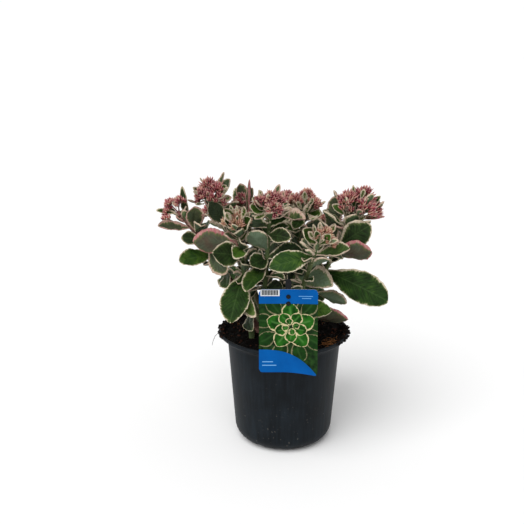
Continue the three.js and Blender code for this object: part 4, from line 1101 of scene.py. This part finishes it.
# How far a leaf's foot runs into its stem, in millimetres, and its relief: the teeth, slow roll and
# upturned rim of its margin, and the hollows and swells between its veins.
LEAF_ROOT = 2.5
RELIEF = {"tooth": 0.34, "roll": 0.7, "upturn": 1.2, "hollow": 0.45, "swell": 0.8}


def grow_leaf(bm, leaf, blank, shade, thick=2.0, edge_thick=0.75):
    """Adds one fleshy leaf: thick along its rib, quilted beside it, and thin and faintly toothed at its
    waved margin. Some leaves come to a blunt point."""
    verts, shares, faces = from_blank(bm, blank)
    length = leaf["length"]
    reach = LEAF_ROOT / length
    s, t, face = shares[:, 0] * (1 + reach) - reach, shares[:, 1], shares[:, 2]
    phase = 7 * leaf["heading"]
    middle, normal = blade(leaf, s, t)
    side = blade(leaf, s, np.ones_like(t))[0] - blade(leaf, s, -np.ones_like(t))[0]
    half = np.linalg.norm(side, axis=1) / 2
    side = side / np.maximum(2 * half, 1e-6)[:, None]
    narrowing = 1 - np.clip((1 - s) / 0.32, 0, 1) ** (0.13 * (phase * 3.7 % 1))
    broad = np.clip(half / 8, 0, 1)
    waves = np.sin(length * s * 1.3 + phase) + 0.7 * np.sin(length * s * 0.7 + 2 * phase)
    tooth = RELIEF["tooth"] * waves * np.clip((s - 0.2) * 4, 0, 1) * broad * t * np.abs(t) ** 3
    roll = RELIEF["roll"] * np.sin(length * s * 0.45 + phase + 2 * (t > 0)) * t ** 4
    frill = (roll + RELIEF["upturn"] * t ** 10) * broad
    hollow = RELIEF["hollow"] * np.sin(0.32 * length * s + 3 * t + phase)
    hollow = hollow * np.cos(2.2 * t + phase) * (1 - t ** 4)
    swell = RELIEF["swell"] * np.sin(math.pi * np.abs(t)) * np.clip((1 - s) * 4, 0, 1)
    quilt = (hollow + swell) * broad
    rib = np.exp(-(t * half / 1.3) ** 2) * np.clip((1 - s) * 3, 0, 1)
    full = edge_thick + (thick - edge_thick) * (1 - t * t) ** 0.8
    full = full * np.clip((1 - s) / 0.07, 0, 1) ** 0.5 * (1 + 0.5 * np.clip(0.15 - s, 0, 1) / 0.15)
    lift = face * full / 2 - np.where(face > 0, 0.5, 0.45) * rib + frill + quilt
    shift = tooth - narrowing * half * t
    places = np.clip((middle + side * shift[:, None] + normal * lift[:, None]) * MM, *BOX)
    edge = rim_distance(np.clip(s, 0, 1), t, leaf) / (1 + np.maximum(0, leaf["lean"] * t))
    flush, light, bloom, margin = shade
    upper = (flush, light, bloom, margin)
    lower = (min(1, flush * 1.1 + 0.08), light * 0.8 + 0.1, min(1, bloom + 0.35), margin)
    edge_layer = bm.verts.layers.float["edge"]
    tint_layer = bm.verts.layers.float_color["tint"]
    uv_layer = bm.loops.layers.uv["blade"]
    spots = {}
    offset = 200 * (phase % 1)
    for k, vert in enumerate(verts):
        vert.co = places[k]
        vert[edge_layer] = edge[k]
        vert[tint_layer] = upper if face[k] > 0 else lower
        spots[vert] = (s[k] * length + offset, t[k] * half[k])
    for made in faces:
        made.material_index = TISSUE
        for loop in made.loops:
            loop[uv_layer].uv = spots[loop.vert]


def leaf_tissue():
    """Living leaf under a waxy bloom. Green cells fill the middle, the margin has none and is cream,
    flushed pink by cold; between the two the green feathers out in streaks."""
    made, tree, shader = finish_of("leaf_tissue", IOR=1.42, Specular_IOR_Level=0.09)
    edge = node(tree, "Attribute", attribute_name="edge", out="Fac")
    tint = node(tree, "Attribute", attribute_name="tint", out="Color")
    margin_width = node(tree, "Attribute", attribute_name="tint", out="Alpha")
    flush, light, bloom = (
        node(tree, "SeparateColor", tint, out=part) for part in ("Red", "Green", "Blue")
    )
    flat = node(tree, "UVMap", uv_map="blade")
    along = node(tree, "SeparateXYZ", flat, out="X")
    across = node(tree, "SeparateXYZ", flat, out="Y")
    inward = node(tree, "CombineXYZ", along, node(tree, "Math", edge, 0.3, operation="MULTIPLY"))
    streaks = node(tree, "TexNoise", inward, 0.5, 4)
    blotches = node(tree, "TexNoise", flat, 0.07, 3)
    patches = node(tree, "TexNoise", flat, 0.42, 2)
    grain = node(tree, "TexNoise", flat, 1.1, 3)
    from_rib = node(tree, "Math", across, operation="ABSOLUTE")
    back = node(tree, "Math", from_rib, 1.1, operation="MULTIPLY")
    slant = node(tree, "Math", along, back, operation="SUBTRACT")
    drawn_out = node(tree, "Math", from_rib, 0.2, operation="MULTIPLY")
    fibres = node(tree, "TexNoise", node(tree, "CombineXYZ", slant, drawn_out), 0.55, 3)

    # How green it is here: light and dark patches a centimetre across, finer streaks and faint side
    # veins that leave the rib at a slant, and the paler rib itself.
    broad = node(tree, "MapRange", blotches, 0.32, 0.68, -0.2, 0.2)
    fine = node(tree, "MapRange", fibres, 0.3, 0.7, -0.24, 0.24)
    uneven = node(tree, "Math", broad, fine, operation="ADD")
    lightness = node(tree, "Math", light, uneven, operation="ADD", use_clamp=True)
    shaded = node(tree, "MapRange", lightness, 0, 0.5)
    sunlit = node(tree, "MapRange", lightness, 0.5, 1.1)
    deep = node(tree, "Mix", shaded, "#081204", "#1b3a0f", data_type="RGBA")
    green = node(tree, "Mix", sunlit, deep, "#45641c", data_type="RGBA")
    wave = node(tree, "Math", node(tree, "Math", slant, 1.15, operation="MULTIPLY"), operation="SINE")
    rib = node(tree, "MapRange", from_rib, 0.3, 1.1, 0.25, 0.0)
    veins = node(tree, "MapRange", wave, 0.8, 1.0, 0.0, 0.16)
    veined = node(tree, "Math", rib, veins, operation="ADD")
    ribbed = node(tree, "Mix", veined, green, "#4a6335", data_type="RGBA")

    # Wax greys it, cold reddens it, and the green thins towards the margin.
    dusting = node(tree, "MapRange", fibres, 0.3, 0.7, 0.6, 1.4)
    waxy = node(tree, "Math", bloom, dusting, operation="MULTIPLY", use_clamp=True)
    bloomed = node(tree, "Mix", waxy, ribbed, "#6a7d66", data_type="RGBA")
    cold = node(tree, "MapRange", blotches, 0.3, 0.7, 0.2, 0.85)
    reddening = node(tree, "Math", flush, cold, operation="MULTIPLY", use_clamp=True)
    reddened = node(tree, "Mix", reddening, bloomed, "#523a34", data_type="RGBA")
    ragged = node(tree, "MapRange", streaks, 0.3, 0.7, 0.45, 1.35)
    swelling = node(tree, "MapRange", blotches, 0.35, 0.65, 0.6, 1.5)
    broadened = node(tree, "Math", margin_width, swelling, operation="MULTIPLY")
    width = node(tree, "Math", broadened, ragged, operation="MULTIPLY")
    ratio = node(tree, "Math", edge, width, operation="DIVIDE")
    thinning = node(tree, "MapRange", ratio, 0.9, 2.4, 0.6, 0.0)
    faded = node(tree, "Mix", thinning, reddened, "#6a7545", data_type="RGBA")

    # The margin: cream, bleached in patches, and pink where the leaf is flushed.
    chilled = node(tree, "MapRange", streaks, 0.3, 0.7, 0.4, 1.2)
    flushed = node(tree, "MapRange", flush, 0.05, 0.9)
    pinkness = node(tree, "Math", flushed, chilled, operation="MULTIPLY", use_clamp=True)
    bleached = node(tree, "MapRange", patches, 0.35, 0.65)
    cream = node(tree, "Mix", bleached, "#b6a98c", "#d2c8b3", data_type="RGBA")
    margin = node(tree, "Mix", pinkness, cream, "#a05660", data_type="RGBA")
    rim = node(tree, "MapRange", ratio, 0.8, 1.15, 1.0, 0.0)
    colour = node(tree, "Mix", rim, faded, margin, data_type="RGBA")
    tree.links.new(colour, shader.inputs["Base Color"])
    tree.links.new(node(tree, "MapRange", bloom, 0, 1, 0.42, 0.62), shader.inputs["Roughness"])
    swells = node(tree, "Math", patches, 1.4, operation="MULTIPLY")
    relief = node(tree, "Math", grain, swells, operation="ADD")
    skin = node(tree, "Bump", Height=relief, Strength=0.6, Distance=0.0009)
    tree.links.new(skin, shader.inputs["Normal"])
    return made


def stem_skin():
    """Fleshy green stem with a thin bloom, flushed rose where the sun caught it."""
    made, tree, shader = finish_of("stem_skin", Roughness=0.5, IOR=1.42, Specular_IOR_Level=0.1)
    tint = node(tree, "Attribute", attribute_name="tint", out="Color")
    flush = node(tree, "SeparateColor", tint, out="Red")
    skin = node(tree, "TexNoise", node(tree, "TexCoord", out="Object"), 190, 4)
    uneven = node(tree, "MapRange", skin, 0.3, 0.7)
    green = node(tree, "Mix", uneven, "#34452a", "#55693f", data_type="RGBA")
    tree.links.new(node(tree, "Mix", flush, green, "#7d5250", data_type="RGBA"), shader.inputs["Base Color"])
    return made


leaf_surface = leaf_tissue()
stem_surface = stem_skin()


def shade_of(look, draw, warmth=0.0):
    """A look with each plant part's small differences."""
    flush, light, bloom, margin = LOOKS[look]
    return (
        min(1, max(0, flush + draw(-0.06, 0.1) + warmth)), min(1, max(0, light + draw(-0.12, 0.12))),
        max(0, bloom + draw(-0.02, 0.06)), margin * draw(0.85, 1.2),
    )


for name, stem in STEMS.items():
    shoot = bmesh.new()
    leaf_layers(shoot)
    heights = np.linspace(0, 1, 25)
    line = [(stem["foot"][0], stem["foot"][1], ROOT_Z)] + [tuple(stem_point(stem, u)) for u in heights]
    joints = [0.5 * max(math.exp(-((u - at) / 0.02) ** 2) for at, _, _ in PAIRS) for u in heights]
    radii = [STEM_FOOT] + [STEM_FOOT + (STEM_TOP - STEM_FOOT) * u + j for u, j in zip(heights, joints)]
    tint_layer = shoot.verts.layers.float_color["tint"]
    for vert in tube(shoot, line, radii, 12):
        vert[tint_layer] = (stem["flush"], 0.5, 0.2, 1)
    bmesh.ops.recalc_face_normals(shoot, faces=shoot.faces)
    for face in shoot.faces:
        face.material_index = SKIN
    for leaf in leaves:
        if leaf["stem"] == name:
            warmth = 0.1 if name == "far_left" and leaf["at"] > 0.8 else 0
            blank = LEAF_BLANK if leaf["length"] > LARGE_LEAF else BRACT_BLANK
            grow_leaf(shoot, leaf, blank, shade_of(leaf["look"], shades, warmth))
    made = piece("leafy_stem_" + name, shoot, [leaf_surface, stem_surface], slot="foliage")
    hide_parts("stem_" + name)

# ---------------------------------------------------------------- heads of buds
# Each stem ends in a flat-topped cyme: branches from one fork, each breaking into tufts of closed
# buds, with cream-edged bracts standing among them. Each bud is furled petals, crimson to peach, in an
# olive calyx, and its tip is paled by a painted highlight.
BUD_LENGTH = 7.4
BUDS_A_TUFT = 7
TUFTS_A_DOME = 12
SMALL_BRACT = 7
# Tufts of buds that hang in front of a head or stand in a leaf's axil, as place and direction.
NESTLED = {
    "far_left": [((-144, -17, 301), (-0.3, -0.1, 1)), ((-149, -18, 300), (-0.5, -0.1, 0.8))],
    "right": [
        ((72, -10, 311), (-0.3, -0.5, 0.8)), ((82, -12, 309), (0, -0.6, 0.8)),
        ((77, -6, 318), (0, -0.5, 0.9)),
    ],
    "upper_left": [
        ((-103, 4, 322), (-0.3, -0.6, 0.8)), ((-95, 2, 320), (-0.1, -0.6, 0.8)),
        ((-87, 0, 319), (0, -0.6, 0.8)), ((-79, 2, 318), (0.3, -0.6, 0.8)),
        ((-91, -2, 325), (0, -0.6, 0.8)), ((-83, 0, 325), (0.2, -0.5, 0.8)),
        ((-99, 2, 327), (-0.2, -0.5, 0.8)),
    ],
}


def bud_blank():
    """One furled bud, standing on its foot."""
    bm = bmesh.new()
    leaf_layers(bm)
    bmesh.ops.create_uvsphere(bm, u_segments=6, v_segments=5, radius=1)
    for vert in bm.verts:
        along = (vert.co.z + 1) / 2
        ring = math.hypot(vert.co.x, vert.co.y)
        wide = math.sin(math.pi * along ** 0.75) ** 0.8 * (1 - 0.2 * along) if 0.001 < along < 0.999 else 0
        if ring > 1e-6:
            vert.co.x, vert.co.y = vert.co.x / ring * wide, vert.co.y / ring * wide
        vert.co.z = along
    return mesh_of("bud_blank", bm)


BUD_BLANK = bud_blank()


def add_bud(bm, foot, way, length, radius, ripe, chance):
    """Adds one bud from its foot along a direction. Its map holds its chance colour and the share
    along it."""
    verts, shares, faces = from_blank(bm, BUD_BLANK)
    right, up = sideways(way)
    places = foot + shares[:, :1] * radius * right + shares[:, 1:2] * radius * up
    places = np.clip((places + shares[:, 2:] * length * way) * MM, *BOX)
    tint_layer = bm.verts.layers.float_color["tint"]
    uv_layer = bm.loops.layers.uv["blade"]
    rises = {}
    for vert, place, share in zip(verts, places, shares):
        vert.co = place
        vert[tint_layer] = (ripe, 0.5, 0.1, 1)
        rises[vert] = share[2]
    for face in faces:
        face.material_index = PETAL
        for loop in face.loops:
            loop[uv_layer].uv = (chance, rises[loop.vert])


def furled_petals():
    """Closed bud: an olive calyx, then furled petals from peach to crimson, the tip paled by a painted
    highlight.
    """
    made, tree, shader = finish_of("furled_petals", Roughness=0.5, IOR=1.42, Specular_IOR_Level=0.1)
    tint = node(tree, "Attribute", attribute_name="tint", out="Color")
    ripe = node(tree, "SeparateColor", tint, out="Red")
    flat = node(tree, "UVMap", uv_map="blade")
    chance = node(tree, "SeparateXYZ", flat, out="X")
    along = node(tree, "SeparateXYZ", flat, out="Y")
    early = node(tree, "Mix", chance, "#a86e5a", "#b5a678", data_type="RGBA")
    late = "#521021"
    for start, end, colour in ((0, 0.35, "#883144"), (0.35, 0.7, "#ac605c"), (0.7, 1.0, "#c6a48c")):
        share = node(tree, "MapRange", chance, start, end)
        late = node(tree, "Mix", share, late, colour, data_type="RGBA")
    ripened = node(tree, "MapRange", ripe, 0.1, 0.7)
    petal = node(tree, "Mix", ripened, early, late, data_type="RGBA")
    # Painted highlight: each bud pales towards its top, as where its rounded tip catches the light.
    tip_highlight = node(tree, "MapRange", along, 0.6, 0.95, 0.0, 0.6)
    highlighted_tip = node(tree, "Mix", tip_highlight, petal, "#dab0a6", data_type="RGBA")
    sheath = node(tree, "MapRange", along, 0.15, 0.5, 0.85, 0.0)
    calyx = node(tree, "Mix", sheath, highlighted_tip, "#5f5a33", data_type="RGBA")
    tree.links.new(calyx, shader.inputs["Base Color"])
    return made


bud_surface = furled_petals()
heads = seeded_draw(1311)


def splay(way, angle, turn):
    """A direction turned away from another by an angle, at a turn round it."""
    right, up = sideways(way)
    return unit(way * math.cos(angle) + (right * math.cos(turn) + up * math.sin(turn)) * math.sin(angle))


for name, plan in PLANS.items():
    stem, size = STEMS[name], plan["size"]
    head = bmesh.new()
    leaf_layers(head)
    tint_layer = head.verts.layers.float_color["tint"]
    stalks = tube(head, [plan["foot"], plan["fork"] + plan["axis"]], [STEM_TOP, 2.2 * size], 10)
    buds = []
    tufts = [(np.array(place), unit(np.array(way))) for place, way in NESTLED.get(name, [])]
    length = BUD_LENGTH * (0.35 + 0.65 * size)
    for dome in plan["domes"]:
        middle = (plan["fork"] + dome["centre"]) / 2 + plan["axis"] * 1.5 * size
        arm = [plan["fork"], middle, dome["centre"]]
        stalks += tube(head, arm, [1.6 * size, 1.1 * size, 0.9 * size], 7)
        count = round(TUFTS_A_DOME * size)
        for k in range(count):
            rise = 1 - 1.2 * (k + 0.5) / count
            out = splay(dome["axis"], math.acos(rise), k * GOLDEN_ANGLE + heads(-0.3, 0.3))
            lean = unit(out + 0.7 * plan["axis"] + np.array([heads(-0.12, 0.12) for _ in range(3)]))
            tuft = dome["centre"] + out * heads(4.6, 6.4) * size
            stalks += tube(head, [dome["centre"], tuft + 0.5 * lean], [0.7 * size, 0.6], 4)
            tufts.append((tuft, lean))
    for tuft, lean in tufts:
        around = heads(0, math.tau)
        for b in range(BUDS_A_TUFT):
            way = splay(lean, 0.32, b * math.tau / (BUDS_A_TUFT - 1) + around) if b else lean
            foot = tuft + (way - lean * 0.9) * 4.2
            buds.append((foot, way, length * heads(0.75, 1.1) * (1 if b else 1.12), heads(1.0, 1.3)))
    for vert in stalks:
        vert[tint_layer] = (min(1, stem["flush"] + 0.2), 0.5, 0.2, 1)
    bmesh.ops.recalc_face_normals(head, faces=head.faces)
    for face in head.faces:
        face.material_index = SKIN
    for foot, way, long, radius in buds:
        add_bud(head, foot, way, long, radius, stem["ripe"], heads(0, 1))
    for row in BRACTS:
        if row[0] == name:
            blank = BRACT_BLANK if row[2] > SMALL_BRACT else SMALL_BLANK
            grow_leaf(head, bract_of(row), blank, shade_of(row[-1], heads), thick=1.4, edge_thick=0.6)
    for k in range(stem["leafy"]):
        way = splay(plan["axis"], heads(24, 66) * DEG, k * GOLDEN_ANGLE + heads(-0.4, 0.4))
        base = plan["fork"] + way * heads(9, 17) * size
        long = heads(12, 18) * size
        inward = plan["axis"] - 0.8 * (way - plan["axis"] * float(way @ plan["axis"]))
        look = HEAD_LOOKS[k % 4]
        width = long * heads(0.3, 0.42)
        bract = blade_to(base, base + way * long, width, -heads(30, 70), inward, 0.45, look)
        shade = shade_of(look, heads, 0.1 * stem["ripe"])
        grow_leaf(head, bract, SMALL_BLANK, shade, thick=1.2, edge_thick=0.55)
    made = piece("bud_head_" + name, head, [leaf_surface, stem_surface, bud_surface], slot="buds")
    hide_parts("buds_" + name)

# ---------------------------------------------------------------- dressed box
# The dressed box, in metres, measured as the frame's box was.
low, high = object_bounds()
